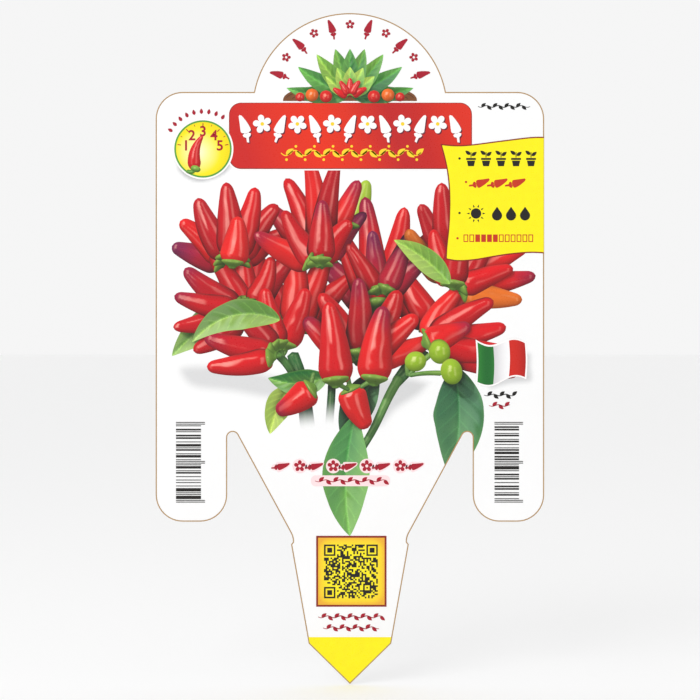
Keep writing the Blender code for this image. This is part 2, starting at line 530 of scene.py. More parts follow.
def build_bunch():
    rng = np.random.default_rng(20)

    def at(u, v):
        """This layout is laid out from the right-hand side."""
        return mm(700 - u, v)

    els = []
    reds = [(214, 16, 24), (204, 12, 22), (222, 22, 24), (196, 14, 26), (228, 30, 28), (188, 16, 30)]

    def leaf(base, tip, bend, width, z0, group, **look):
        look.setdefault("seed", int(rng.integers(1, 999)))
        els.append(Leaf(curve_axis(at(*base), at(*tip), -bend * UNIT, 34), width * UNIT / 2, z0, group, **look))

    def stem(points, w0, w1, z0, group, **look):
        """A stem through layout points, smoothed."""
        p = np.array([at(u, v) for u, v in points])
        n = 14
        dense = []
        ext = np.concatenate([[2 * p[0] - p[1]], p, [2 * p[-1] - p[-2]]])
        for i in range(1, len(ext) - 2):
            for k in range(n):
                t = k / n
                a, b, c, d = ext[i - 1], ext[i], ext[i + 1], ext[i + 2]
                dense.append(0.5 * ((2 * b) + (-a + c) * t + (2 * a - 5 * b + 4 * c - d) * t * t
                                    + (-a + 3 * b - 3 * c + d) * t ** 3))
        dense.append(p[-1])
        look.setdefault("seed", int(rng.integers(1, 999)))
        look.setdefault("colour", (96, 148, 62))
        els.append(Strand("green", np.array(dense), stem_radius(w0 * UNIT / 2, w1 * UNIT / 2), z0, 0.0, group, **look))

    def pod(base, tip, width, z0, group, bend=None, tilt=None, colour=None, hub=None, cap=True, **look):
        b, e = np.array(at(*base)), np.array(at(*tip))
        if bend is None:
            bend = rng.uniform(-4.0, 4.0)
        if tilt is None:
            tilt = rng.uniform(-0.12, 0.32)
        look.setdefault("seed", int(rng.integers(1, 9999)))
        look.setdefault("gloss", rng.uniform(0.65, 1.15))
        look.setdefault("soft", rng.uniform(0.2, 1.0))
        if colour is None:
            colour = reds[int(rng.integers(0, len(reds)))]
            if rng.random() < 0.25:
                look.setdefault("blush", (150, 20, 60))
                look.setdefault("blush_from", 0.55)
        axis = curve_axis(b, e, -bend * UNIT)
        shape = rng.uniform(1.35, 1.9)
        taper = rng.uniform(0.58, 0.70)
        d = e - b
        length = float(np.hypot(*d))
        d = d / length
        if hub is not None:
            h = np.array(at(*hub))
            mid = (b + h) / 2 + np.array([-d[1], d[0]]) * rng.uniform(-1.0, 1.0)
            ax = np.array(bezier(tuple(b + d * 0.8), tuple(mid), tuple(h), 12))
            els.append(Strand("green", ax, stem_radius(0.85, 0.62), z0 - 1.2, 0.0, group,
                              colour=(112, 152, 62), colour2=(84, 132, 58), seed=int(rng.integers(1, 999))))
        profile = pod_radius(width * UNIT / 2, shape, taper)
        if look.get("round"):
            profile = round_radius(width * UNIT / 2)
        els.append(Strand("pod", axis, profile, z0, tilt, group,
                          colour=colour, **look))
        if cap:
            # calyx: a little cup over the shoulder
            w = width * UNIT / 2
            side = np.array([-d[1], d[0]])
            q0 = b - d * 1.5
            q1 = b + d * (0.10 * length)

            def cup(t, w=w):
                t = np.asarray(t, float)
                rise = 0.24 + 0.54 * smooth(0.1, 0.75, t)
                ends = np.sqrt(np.clip(1 - (1 - np.clip(t / 0.12, 0, 1)) ** 2, 0, 1)) * \
                    np.sqrt(np.clip(1 - (np.clip((t - 0.80) / 0.20, 0, 1)) ** 2, 0, 1))
                return w * rise * ends
            els.append(Strand("green", np.linspace(q0, q1, 12), cup, z0 + 0.6, tilt, group,
                              colour=(98, 142, 52), colour2=(132, 168, 66), gloss=0.5,
                              seed=int(rng.integers(1, 999))))
        return els[-1]

    def fan(hub, rows, group):
        for ang, start, length, width, z0, extra in rows:
            a = math.radians(ang)
            du, dv = math.cos(a), -math.sin(a)
            base = (hub[0] + du * start, hub[1] + dv * start)
            tip = (hub[0] + du * (start + length), hub[1] + dv * (start + length))
            pod(base, tip, width, z0, group, hub=hub, **extra)

    orange = dict(colour=(226, 112, 30), deep=(150, 50, 6), shine=(255, 222, 170), gloss=0.7)
    amber = dict(colour=(206, 104, 30), deep=(120, 44, 8), shine=(250, 200, 140), gloss=0.5)
    lime = dict(colour=(166, 196, 58), deep=(84, 120, 24), shine=(240, 250, 190), gloss=0.8)
    plum = dict(colour=(176, 20, 44), blush=(118, 30, 78), blush_from=0.30, deep=(80, 6, 40))

    # leaves and stems behind everything
    leaf((246, 366), (250, 478), -7, 50, 0.5, "leaves", light=(92, 150, 84), dark=(24, 98, 52), split=0.15,
         fold=0.30, grade=0.5, sheen=(150, 190, 180), gloss=0.5, widest=0.45)
    leaf((322, 374), (352, 452), 8, 34, 0.4, "leaves", light=(70, 130, 70), dark=(20, 84, 46), fold=0.3)
    stem([(240, 292), (262, 322), (284, 352), (306, 384)], 7, 9, 1.0, "left", colour=(84, 138, 66), colour2=(62, 118, 58))
    stem([(272, 352), (286, 366), (306, 386)], 8, 9, 1.2, "left", colour=(70, 128, 62), colour2=(58, 112, 54))
    stem([(300, 376), (312, 398), (326, 428), (340, 452)], 10, 7, 1.4, "centre", colour=(96, 148, 70), colour2=(70, 124, 60))
    stem([(374, 286), (370, 330), (368, 380), (371, 428)], 8, 8, 0.8, "centre", colour=(66, 122, 62), colour2=(54, 104, 60), fade=(0.80, 0.99))
    stem([(408, 352), (398, 384), (392, 430)], 12, 15, 0.9, "centre", colour=(58, 118, 60), colour2=(48, 98, 62), fade=(0.72, 0.99))
    stem([(450, 318), (432, 344), (412, 366), (398, 392)], 8, 8, 1.0, "right", colour=(88, 142, 64), colour2=(66, 122, 58))

    # right leaves
    leaf((428, 306), (528, 356), 12, 40, 1.5, "right", light=(150, 186, 84), dark=(92, 142, 62), fold=0.25, grade=0.4,
         gloss=0.4, split=0.30)
    leaf((412, 338), (472, 276), -5, 34, 2.2, "right", light=(106, 164, 78), dark=(42, 118, 52), fold=0.4)

    # pods behind, which fill the gaps between the clusters
    fan((322, 322), [
        (122, 14, 92, 29, 1.2, {}),
        (103, 14, 104, 30, 1.4, {}),
        (84, 14, 112, 30, 1.5, {}),
        (66, 14, 96, 29, 1.3, {}),
        (48, 14, 84, 28, 1.1, plum),
    ], "centre")
    fan((408, 338), [
        (134, 12, 74, 29, 1.2, {}),
        (112, 12, 84, 30, 1.5, {}),
        (90, 12, 86, 30, 1.6, {}),
        (66, 12, 84, 29, 1.4, {}),
        (44, 12, 82, 28, 1.3, {}),
    ], "right")
    fan((262, 332), [
        (142, 12, 84, 29, 1.2, {}),
        (120, 12, 70, 29, 1.3, {}),
        (58, 12, 74, 29, 1.3, {}),
        (34, 12, 62, 28, 1.2, {}),
    ], "left")
    fan((452, 314), [
        (128, 12, 62, 28, 1.7, {}),
        (98, 12, 66, 29, 1.9, {}),
    ], "right")
    # a high cluster on its own side
    fan((468, 268), [
        (146, 12, 56, 26, 2.0, {}),
        (126, 12, 66, 28, 2.3, {}),
        (106, 12, 72, 28, 2.6, {}),
        (86, 12, 74, 29, 2.8, {}),
        (64, 12, 66, 28, 2.5, {}),
        (42, 12, 58, 27, 2.2, {}),
        (20, 12, 52, 26, 2.0, plum),
        (96, 4, 48, 29, 5.0, {}),
    ], "right")
    stem([(468, 270), (462, 292), (452, 316)], 7, 7, 1.9, "right")
    # back clusters
    fan((380, 268), [
        (130, 12, 60, 25, 2.0, plum),
        (114, 12, 84, 27, 2.4, {}),
        (99, 12, 96, 28, 2.8, {}),
        (84, 12, 98, 28, 2.6, {}),
        (69, 12, 84, 27, 2.4, {}),
        (50, 12, 68, 27, 2.0, {}),
        (30, 14, 60, 24, 1.6, {}),
    ], "centre")
    pod((350, 226), (333, 180), 24, 1.4, "centre", bend=2, hub=(360, 262), **lime)
    fan((247, 290), [
        (170, 14, 70, 26, 2.0, {}),
        (150, 12, 74, 27, 2.2, {}),
        (131, 12, 74, 25, 2.0, {}),
        (114, 12, 84, 27, 2.6, {}),
        (99, 12, 92, 26, 2.4, {}),
        (84, 12, 96, 28, 2.8, {}),
        (69, 12, 80, 27, 2.2, {}),
        (53, 14, 62, 25, 2.4, amber),
    ], "left")
    fan((318, 300), [
        (138, 10, 54, 24, 1.8, plum),
        (112, 10, 62, 25, 2.2, plum),
        (82, 10, 60, 24, 2.0, plum),
        (58, 10, 56, 24, 2.0, {}),
    ], "centre")
    # front of the left cluster
    fan((247, 290), [
        (188, 10, 60, 27, 5.0, orange),
        (160, 8, 56, 26, 5.6, {}),
        (124, 6, 62, 27, 5.4, {}),
        (72, 6, 58, 27, 5.8, {}),
        (98, 4, 66, 28, 7.2, {}),
    ], "left")
    # lower left cluster
    fan((276, 344), [
        (199, 12, 86, 24, 2.4, {}),
        (185, 12, 88, 27, 4.2, {}),
        (168, 10, 74, 27, 3.6, {}),
        (148, 10, 72, 28, 5.2, {}),
        (124, 8, 58, 27, 5.0, {}),
        (158, 2, 48, 29, 7.4, {}),
    ], "left")
    # small light leaf across the two clusters
    leaf((250, 284), (306, 240), 4, 24, 8.5, "left", light=(168, 198, 84), dark=(116, 164, 62), fold=0.35, gloss=0.4, grade=0.4)
    # green round fruits
    for (u, v, w, h, z) in ((262, 352, 25, 25, 8.2), (250, 372, 28, 26, 9.0), (286, 362, 20, 20, 7.0)):
        pod((u + 9, v + 2), (u - 12, v - 3), h, z, "left", bend=0, tilt=0.1, hub=(292, 376), cap=False,
            colour=(150, 186, 40), deep=(84, 120, 20), shine=(246, 252, 190), gloss=1.0, round=True)
    # centre front
    fan((380, 268), [
        (124, 6, 50, 25, 5.2, {}),
        (92, 6, 62, 29, 5.6, {}),
        (58, 6, 62, 27, 5.4, {}),
        (28, 10, 64, 27, 5.2, {}),
    ], "centre")
    # right cluster
    fan((452, 314), [
        (112, 10, 52, 25, 2.6, {}),
        (84, 10, 58, 25, 2.2, {}),
        (58, 10, 60, 25, 2.4, {}),
        (36, 12, 66, 26, 2.8, {}),
        (14, 12, 64, 27, 3.0, {}),
        (-10, 12, 64, 26, 2.6, {}),
        (-34, 10, 56, 26, 2.6, {}),
    ], "right")
    leaf((420, 320), (508, 342), 16, 30, 6.4, "right", light=(160, 194, 92), dark=(104, 152, 66), fold=0.3, gloss=0.5, split=0.35)
    fan((418, 356), [
        (110, 10, 62, 27, 4.2, {}),
        (76, 10, 60, 26, 4.4, {}),
        (44, 10, 62, 25, 4.6, {}),
        (14, 10, 70, 27, 5.2, {}),
        (-8, 10, 66, 25, 5.8, {}),
    ], "right")
    # middle clusters
    fan((342, 366), [
        (160, 12, 66, 27, 4.4, {}),
        (140, 12, 66, 30, 5.4, {}),
        (118, 10, 76, 31, 5.0, {}),
        (62, 10, 72, 30, 5.2, {}),
        (42, 10, 62, 27, 4.8, {}),
        (90, 10, 78, 30, 5.6, {}),
    ], "centre")
    leaf((372, 376), (432, 378), -6, 26, 6.2, "centre", light=(128, 176, 74), dark=(34, 112, 50), fold=0.4, gloss=0.5)
    pod((326, 382), (316, 306), 35, 9.0, "centre", bend=-2, tilt=0.22, hub=(340, 388), gloss=1.2)
    pod((364, 384), (372, 302), 35, 9.4, "centre", bend=2, tilt=0.20, hub=(350, 390), gloss=1.2)
    # low single pods
    leaf((410, 386), (430, 434), 3, 26, 3.2, "centre", light=(186, 206, 84), dark=(140, 176, 60), fold=0.3)
    pod((350, 388), (332, 428), 29, 7.6, "centre", bend=2, tilt=-0.1, hub=(352, 372), gloss=1.25)
    pod((388, 388), (424, 412), 29, 7.6, "centre", bend=-2, tilt=-0.1, hub=(386, 372), gloss=1.2)
    # long hanging leaf of the stake
    leaf((344, 414), (350, 536), 7, 46, 3.0, "leaves", light=(118, 176, 78), dark=(64, 140, 66), fold=0.22, grade=0.7,
         split=0.18, widest=0.50, gloss=0.3)
    els.sort(key=lambda e: e.z0)
    return els


def gaussian(img, sigma_px):
    h, w = img.shape
    pad = int(sigma_px * 3) + 2
    big = np.pad(img, pad, mode="edge")
    fy = np.fft.fftfreq(big.shape[0])[:, None]
    fx = np.fft.rfftfreq(big.shape[1])[None, :]
    k = np.exp(-2 * (math.pi * sigma_px) ** 2 * (fx * fx + fy * fy))
    out = np.fft.irfft2(np.fft.rfft2(big) * k, s=big.shape)
    return out[pad:pad + h, pad:pad + w]


class Relief:
    """Heights of the whole bunch on a grid, for its soft shadows."""
    STEP = 0.4

    def __init__(self, els):
        self.x0, self.z0 = -64.0, -6.0
        self.nx, self.nz = int(128 / self.STEP), int(156 / self.STEP)
        xs = self.x0 + np.arange(self.nx) * self.STEP
        zs = self.z0 + np.arange(self.nz) * self.STEP
        gx, gz = np.meshgrid(xs, zs)
        cells = np.stack([gx.ravel(), gz.ravel()], 1)
        top = np.zeros(len(cells))
        for el in els:
            hit = np.nonzero(inside(el.outline, cells))[0]
            if len(hit):
                top[hit] = el.height(cells[hit])
        img = top.reshape(self.nz, self.nx)
        self.sharp = gaussian(img, 0.35 / self.STEP)
        self.blur = [(gaussian(img, 1.1 / self.STEP), 2.6, 0.34),
                     (gaussian(img, 2.6 / self.STEP), 4.5, 0.30),
                     (gaussian(img, 6.0 / self.STEP), 7.0, 0.22)]

    def at(self, img, pts):
        fx = np.clip((pts[:, 0] - self.x0) / self.STEP, 0, self.nx - 1.001)
        fz = np.clip((pts[:, 1] - self.z0) / self.STEP, 0, self.nz - 1.001)
        ix, iz = fx.astype(int), fz.astype(int)
        ax, az = fx - ix, fz - iz
        return ((img[iz, ix] * (1 - ax) + img[iz, ix + 1] * ax) * (1 - az)
                + (img[iz + 1, ix] * (1 - ax) + img[iz + 1, ix + 1] * ax) * az)

    def light(self, el, pts):
        """Ambient openness and direct light, 0..1, for an element's points."""
        h = el.height(pts)
        dark = np.zeros(len(pts))
        for img, span, weight in self.blur:
            dark += weight * np.clip((self.at(img, pts) - h) / span + 0.10, 0, 1)
        way = LIGHT[:2] / np.hypot(*LIGHT[:2])
        rise = LIGHT[2] / np.hypot(*LIGHT[:2])
        shadow = np.zeros(len(pts))
        for s in (0.9, 1.8, 3.0, 4.5, 6.5, 9.0):
            over = self.at(self.sharp, pts + way * s) - (h + rise * s + 0.35)
            shadow = np.maximum(shadow, np.clip(over / (0.5 + 0.35 * s), 0, 1))
        return np.clip(1 - dark, 0.12, 1), 1 - 0.62 * shadow


def paint_picture(els, step):
    """Flattens overlapping elements into one planar mesh per group, with colours
    on its corners. Edges of the shapes stay sharp, because they are mesh edges."""
    relief = Relief(els)
    clip = inset(CUT, 0.09)
    verts, edges = [], []

    def add_loop(loop):
        start = len(verts)
        verts.extend((float(p[0]), float(p[1])) for p in loop)
        edges.extend((start + i, start + (i + 1) % len(loop)) for i in range(len(loop)))

    for el in els:
        add_loop(el.outline)
    add_loop(clip)
    lo = np.min([e.outline.min(0) for e in els], axis=0)
    hi = np.max([e.outline.max(0) for e in els], axis=0)
    rows = int((hi[1] - lo[1]) / (step * 0.866)) + 1
    cols = int((hi[0] - lo[0]) / step) + 2
    grid = []
    for r in range(rows):
        xs = lo[0] + (np.arange(cols) + (0.5 if r % 2 else 0.0)) * step
        grid.append(np.stack([xs, np.full(cols, lo[1] + r * step * 0.866)], 1))
    grid = np.concatenate(grid)
    keep = np.zeros(len(grid), bool)
    for el in els:
        keep |= inside(el.outline, grid)
    keep &= inside(clip, grid)
    verts.extend((float(x), float(z)) for x, z in grid[keep])
    out = delaunay_2d_cdt([Vector(p) for p in verts], edges, [], 0, 1e-4)
    pts = np.array([tuple(v) for v in out[0]])
    tris = np.array([f for f in out[2] if len(f) == 3])
    cen = pts[tris].mean(1)
    area = np.abs(np.cross(pts[tris[:, 1]] - pts[tris[:, 0]], pts[tris[:, 2]] - pts[tris[:, 0]])) / 2
    ok = inside(clip, cen) & (area > 1e-7)
    tris, cen = tris[ok], cen[ok]
    owner = np.full(len(tris), -1)
    for i in range(len(els) - 1, -1, -1):
        free = np.nonzero(owner < 0)[0]
        hit = inside(els[i].outline, cen[free])
        owner[free[hit]] = i
    used = owner >= 0
    tris, owner = tris[used], owner[used]
    colours = np.zeros((len(tris), 3, 3))
    for i, el in enumerate(els):
        mine = np.nonzero(owner == i)[0]
        if not len(mine):
            continue
        ids, back = np.unique(tris[mine].ravel(), return_inverse=True)
        p = pts[ids]
        occl, shade = relief.light(el, p)
        col = PAINT[el.kind](el, p, occl, shade)
        colours[mine] = col[back].reshape(len(mine), 3, 3)
    result = {}
    for g in sorted({e.group for e in els}):
        members = np.array([e.group == g for e in els])
        pick = members[owner]
        if pick.any():
            result[g] = (pts, tris[pick], colours[pick])
    return result


# ---- mesh and material helpers -------------------------------------------------

def new_object(name, mesh):
    obj = bpy.data.objects.new(name, mesh)
    bpy.context.scene.collection.objects.link(obj)
    return obj


def picture_mesh(name, pts, tris, colours, layer):
    """A flat painted film: faces look out of the label's front."""
    ids, back = np.unique(tris.ravel(), return_inverse=True)
    p = pts[ids]
    faces = back.reshape(-1, 3)
    a, b, c = p[faces[:, 0]], p[faces[:, 1]], p[faces[:, 2]]
    cross = (b[:, 0] - a[:, 0]) * (c[:, 1] - a[:, 1]) - (b[:, 1] - a[:, 1]) * (c[:, 0] - a[:, 0])
    flip = cross < 0
    faces[flip] = faces[flip][:, ::-1]
    colours = colours.copy()
    colours[flip] = colours[flip][:, ::-1]
    y = FRONT_Y - layer * FILM * 0.001
    co = np.stack([p[:, 0] * 0.001, np.full(len(p), y), p[:, 1] * 0.001], 1)
    mesh = bpy.data.meshes.new(name)
    mesh.vertices.add(len(co))
    mesh.vertices.foreach_set("co", co.ravel())
    mesh.loops.add(faces.size)
    mesh.loops.foreach_set("vertex_index", faces.ravel().astype(np.int32))
    mesh.polygons.add(len(faces))
    mesh.polygons.foreach_set("loop_start", np.arange(0, faces.size, 3, dtype=np.int32))
    mesh.update(calc_edges=True)
    mesh.validate(clean_customdata=False)
    attr = mesh.color_attributes.new("Ink", "FLOAT_COLOR", "CORNER")
    rgba = np.ones((faces.size, 4), np.float32)
    rgba[:, :3] = colours.reshape(-1, 3)
    attr.data.foreach_set("color", rgba.ravel())
    uv = mesh.uv_layers.new(name="OFBake")
    lo, hi = p.min(0), p.max(0)
    size = (hi - lo).max()
    flat = (p - lo) / size * 0.96 + 0.02
    uv.data.foreach_set("uv", flat[faces.ravel()].astype(np.float32).ravel())
    return new_object(name, mesh)


def ink_nodes(mat, rough=0.30, bump=0.03):
    """The press's ink on plastic: fine mottle in gloss and surface."""
    nt = mat.node_tree
    bsdf = nt.nodes["Principled BSDF"]
    bsdf.inputs["Specular IOR Level"].default_value = 0.35
    co = nt.nodes.new("ShaderNodeTexCoord")
    fine = nt.nodes.new("ShaderNodeTexNoise")
    fine.inputs["Scale"].default_value = 2600.0
    fine.inputs["Detail"].default_value = 3.0
    nt.links.new(co.outputs["Object"], fine.inputs["Vector"])
    ramp = nt.nodes.new("ShaderNodeMapRange")
    ramp.inputs["From Min"].default_value = 0.3
    ramp.inputs["From Max"].default_value = 0.7
    ramp.inputs["To Min"].default_value = rough - 0.05
    ramp.inputs["To Max"].default_value = rough + 0.07
    nt.links.new(fine.outputs["Fac"], ramp.inputs["Value"])
    nt.links.new(ramp.outputs["Result"], bsdf.inputs["Roughness"])
    b = nt.nodes.new("ShaderNodeBump")
    b.inputs["Strength"].default_value = 0.12
    b.inputs["Distance"].default_value = 0.00002
    nt.links.new(fine.outputs["Fac"], b.inputs["Height"])
    nt.links.new(b.outputs["Normal"], bsdf.inputs["Normal"])
    return bsdf, fine


def picture_material():
    mat = bpy.data.materials.new("picture_ink")
    mat.use_nodes = True
    bsdf, fine = ink_nodes(mat)
    nt = mat.node_tree
    attr = nt.nodes.new("ShaderNodeVertexColor")
    attr.layer_name = "Ink"
    nt.links.new(attr.outputs["Color"], bsdf.inputs["Base Color"])
    return mat


def card_material():
    mat = bpy.data.materials.new("white_sheet_plastic")
    mat.use_nodes = True
    nt = mat.node_tree
    bsdf = nt.nodes["Principled BSDF"]
    bsdf.inputs["Specular IOR Level"].default_value = 0.38
    co = nt.nodes.new("ShaderNodeTexCoord")
    cloud = nt.nodes.new("ShaderNodeTexNoise")
    cloud.inputs["Scale"].default_value = 34.0
    cloud.inputs["Detail"].default_value = 4.0
    nt.links.new(co.outputs["Object"], cloud.inputs["Vector"])
    tint = nt.nodes.new("ShaderNodeValToRGB")
    tint.color_ramp.elements[0].position = 0.30
    tint.color_ramp.elements[0].color = (*(PAPER * 0.985), 1)
    tint.color_ramp.elements[1].position = 0.70
    tint.color_ramp.elements[1].color = (*np.minimum(PAPER * 1.01, 1.0), 1)
    nt.links.new(cloud.outputs["Fac"], tint.inputs["Fac"])
    nt.links.new(tint.outputs["Color"], bsdf.inputs["Base Color"])
    grain = nt.nodes.new("ShaderNodeTexNoise")
    grain.inputs["Scale"].default_value = 1800.0
    grain.inputs["Detail"].default_value = 4.0
    nt.links.new(co.outputs["Object"], grain.inputs["Vector"])
    rough = nt.nodes.new("ShaderNodeMapRange")
    rough.inputs["From Min"].default_value = 0.3
    rough.inputs["From Max"].default_value = 0.7
    rough.inputs["To Min"].default_value = 0.36
    rough.inputs["To Max"].default_value = 0.46
    nt.links.new(grain.outputs["Fac"], rough.inputs["Value"])
    nt.links.new(rough.outputs["Result"], bsdf.inputs["Roughness"])
    b = nt.nodes.new("ShaderNodeBump")
    b.inputs["Strength"].default_value = 0.25
    b.inputs["Distance"].default_value = 0.00003
    nt.links.new(grain.outputs["Fac"], b.inputs["Height"])
    nt.links.new(b.outputs["Normal"], bsdf.inputs["Normal"])
    return mat


# ---- flat printed shapes, in layout units -----------------------------------

def turn(points, cx, cy, deg, scale=1.0):
    """Rotates anticlockwise as seen on the label, scales and moves points."""
    a = math.radians(deg)
    ca, sa = math.cos(a), math.sin(a)
    return [(cx + scale * (x * ca + y * sa), cy + scale * (-x * sa + y * ca)) for x, y in points]


def circle(cx, cy, r, n=40, ry=None):
    ry = r if ry is None else ry
    return [(cx + r * math.cos(2 * math.pi * i / n), cy + ry * math.sin(2 * math.pi * i / n)) for i in range(n)]


def rect(u0, v0, u1, v1):
    return [(u0, v0), (u1, v0), (u1, v1), (u0, v1)]


def round_rect(u0, v0, u1, v1, r, n=10):
    pts = []
    for cx, cy, a0 in ((u1 - r, v0 + r, -90), (u1 - r, v1 - r, 0), (u0 + r, v1 - r, 90), (u0 + r, v0 + r, 180)):
        for i in range(n + 1):
            a = math.radians(a0 + 90 * i / n)
            pts.append((cx + r * math.cos(a), cy + r * math.sin(a)))
    return pts


def leaf_shape(length, width, n=14, widest=0.42, slit=0.0):
    """A pointed leaf from (0,0) along +x; optional midrib slit as a hole."""
    k = math.log(0.5) / math.log(widest)
    up, down = [], []
    for i in range(n + 1):
        t = i / n
        w = width / 2 * math.sin(math.pi * t ** k) ** 0.9
        up.append((t * length, -w))
        down.append((t * length, w))
    loops = [up + down[::-1][1:-1]]
    if slit:
        loops.append([(length * 0.10, 0), (length * 0.45, -slit / 2), (length * 0.86, 0), (length * 0.45, slit / 2)])
    return loops


def pod_shape(length, width, curl=0.14, n=16):
    """A little chilli from (0,0) along +x, its tip curled to one side, and its
    cap with a stalk as a second shape."""
    axis = [(t * length, -curl * length * (t ** 2.2)) for t in (i / n for i in range(n + 1))]
    up, down = [], []
    for i, (x, y) in enumerate(axis):
        t = i / n
        w = width / 2 * (math.sqrt(max(0.0, 1 - (1 - min(t / 0.16, 1)) ** 2)) * (1 - 0.78 * max(0, (t - 0.1) / 0.9) ** 1.4))
        if i == n:
            w = 0.0
        up.append((x, y - w))
        down.append((x, y + w))
    body = up + down[::-1][1:-1]
    g = width * 0.11
    cap = [(-g, -width * 0.40), (-g - width * 0.16, -width * 0.34), (-g - width * 0.30, -width * 0.12),
           (-g - width * 0.72, -width * 0.16), (-g - width * 0.80, width * 0.04), (-g - width * 0.32, width * 0.12),
           (-g - width * 0.16, width * 0.34), (-g, width * 0.40), (g * 0.4, width * 0.20),
           (-g * 0.3, 0), (g * 0.4, -width * 0.20)]
    return [[body], [cap]]


def blossom(radius, petals=5, n=60, eye=0.20, rot=90):
    out = []
    for i in range(n):
        a = 2 * math.pi * i / n
        r = radius * (0.46 + 0.54 * abs(math.cos(petals * a / 2)) ** 0.7)
        b = a + math.radians(rot)
        out.append((r * math.cos(b), -r * math.sin(b)))
    loops = [out]
    if eye:
        loops.append(circle(0, 0, radius * eye, 14))
    return loops


def place(loops, cx, cy, deg=0, scale=1.0):
    return [turn(loop, cx, cy, deg, scale) for loop in loops]


def stroke(points, width, taper=0.0):
    """A ribbon along points, closed, optionally thinner at both ends."""
    p = np.asarray(points, float)
    d = np.gradient(p, axis=0)
    d /= np.maximum(np.hypot(d[:, 0], d[:, 1])[:, None], 1e-9)
    nrm = np.stack([-d[:, 1], d[:, 0]], 1)
    t = np.linspace(0, 1, len(p))
    w = width / 2 * (1 - taper * np.abs(2 * t - 1) ** 2)
    a = p + nrm * w[:, None]
    b = p - nrm * w[:, None]
    return [[tuple(q) for q in a] + [tuple(q) for q in b[::-1]]]


def vine(u0, u1, v, amp, pitch, leaf_len, leaf_w, thick, berries=True):
    """A wavy line with leaves on both sides."""
    n = max(12, int((u1 - u0) / pitch * 10))
    line = [(u0 + (u1 - u0) * i / n, v + amp * math.sin(2 * math.pi * i / n * (u1 - u0) / (2 * pitch))) for i in range(n + 1)]
    shapes = [stroke(line, thick, 0.4)]
    count = int((u1 - u0) / pitch)
    for k in range(count):
        u = u0 + (k + 0.5) * pitch
        ph = 2 * math.pi * (u - u0) / (2 * pitch)
        vv = v + amp * math.sin(ph)
        up = k % 2 == 0
        deg = 38 if up else -38
        shapes.append(place(leaf_shape(leaf_len, leaf_w, 10), u + 0.4, vv + (-thick if up else thick) * 0.75, deg))
        if berries:
            shapes.append([circle(u + 0.9, vv + (leaf_len * 0.42 if up else -leaf_len * 0.42), leaf_w * 0.26, 12)])
    return shapes


def cut_below(poly, v_cut):
    """The part of a closed layout polygon with v >= v_cut."""
    out = []
    n = len(poly)
    for i in range(n):
        a, b = poly[i], poly[(i + 1) % n]
        ia, ib = a[1] >= v_cut, b[1] >= v_cut
        if ia:
            out.append(a)
        if ia != ib:
            t = (v_cut - a[1]) / (b[1] - a[1])
            out.append((a[0] + t * (b[0] - a[0]), v_cut))
    return out


def cut_left(poly, u_cut):
    """The part with u <= u_cut."""
    out = []
    n = len(poly)
    for i in range(n):
        a, b = poly[i], poly[(i + 1) % n]
        ia, ib = a[0] <= u_cut, b[0] <= u_cut
        if ia:
            out.append(a)
        if ia != ib:
            t = (u_cut - a[0]) / (b[0] - a[0])
            out.append((u_cut, a[1] + t * (b[1] - a[1])))
    return out


def spline(points, n=8):
    """Catmull-Rom through layout points."""
    p = [np.array(q, float) for q in points]
    ext = [2 * p[0] - p[1]] + p + [2 * p[-1] - p[-2]]
    out = []
    for i in range(1, len(ext) - 2):
        a, b, c, d = ext[i - 1], ext[i], ext[i + 1], ext[i + 2]
        for k in range(n):
            t = k / n
            q = 0.5 * ((2 * b) + (-a + c) * t + (2 * a - 5 * b + 4 * c - d) * t * t + (-a + 3 * b - 3 * c + d) * t ** 3)
            out.append((float(q[0]), float(q[1])))
    out.append((float(p[-1][0]), float(p[-1][1])))
    return out


def film(name, shapes, material, layer, in_mm=False):
    """A thin closed ink film for each shape (outer loop, then holes)."""
    verts, faces = [], []
    y_front = FRONT_Y - layer * FILM * 0.001
    y_back = y_front + FILM * 0.8 * 0.001
    for loops in shapes:
        clean = []
        for loop in loops:
            q = list(loop) if in_mm else mm_list(loop)
            keep = [q[0]]
            for p in q[1:]:
                if math.hypot(p[0] - keep[-1][0], p[1] - keep[-1][1]) > 0.004:
                    keep.append(p)
            if len(keep) > 2 and math.hypot(keep[0][0] - keep[-1][0], keep[0][1] - keep[-1][1]) < 0.004:
                keep.pop()
            if len(keep) > 2:
                clean.append(keep)
        if not clean:
            continue
        flat_pts = [p for loop in clean for p in loop]
        tris = tessellate_polygon([[Vector((x, z, 0)) for x, z in loop] for loop in clean])
        start = len(verts)
        n = len(flat_pts)
        verts += [(x * 0.001, y_front, z * 0.001) for x, z in flat_pts]
        verts += [(x * 0.001, y_back, z * 0.001) for x, z in flat_pts]
        for a, b, c in tris:
            pa, pb, pc = flat_pts[a], flat_pts[b], flat_pts[c]
            cross = (pb[0] - pa[0]) * (pc[1] - pa[1]) - (pb[1] - pa[1]) * (pc[0] - pa[0])
            if abs(cross) < 1e-12:
                continue
            if cross < 0:
                b, c = c, b
            faces.append((start + a, start + b, start + c))
            faces.append((start + n + a, start + n + c, start + n + b))
        k = 0
        for li, loop in enumerate(clean):
            m = len(loop)
            area = sum(loop[i][0] * loop[(i + 1) % m][1] - loop[(i + 1) % m][0] * loop[i][1] for i in range(m))
            forward = (area > 0) == (li == 0)
            for i in range(m):
                a, b = start + k + i, start + k + (i + 1) % m
                if forward:
                    faces.append((b, a, a + n, b + n))
                else:
                    faces.append((a, b, b + n, a + n))
            k += m
    mesh = bpy.data.meshes.new(name)
    mesh.from_pydata(verts, [], faces)
    mesh.validate()
    mesh.update()
    obj = new_object(name, mesh)
    obj.data.materials.append(material)
    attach(obj, "root")
    return obj


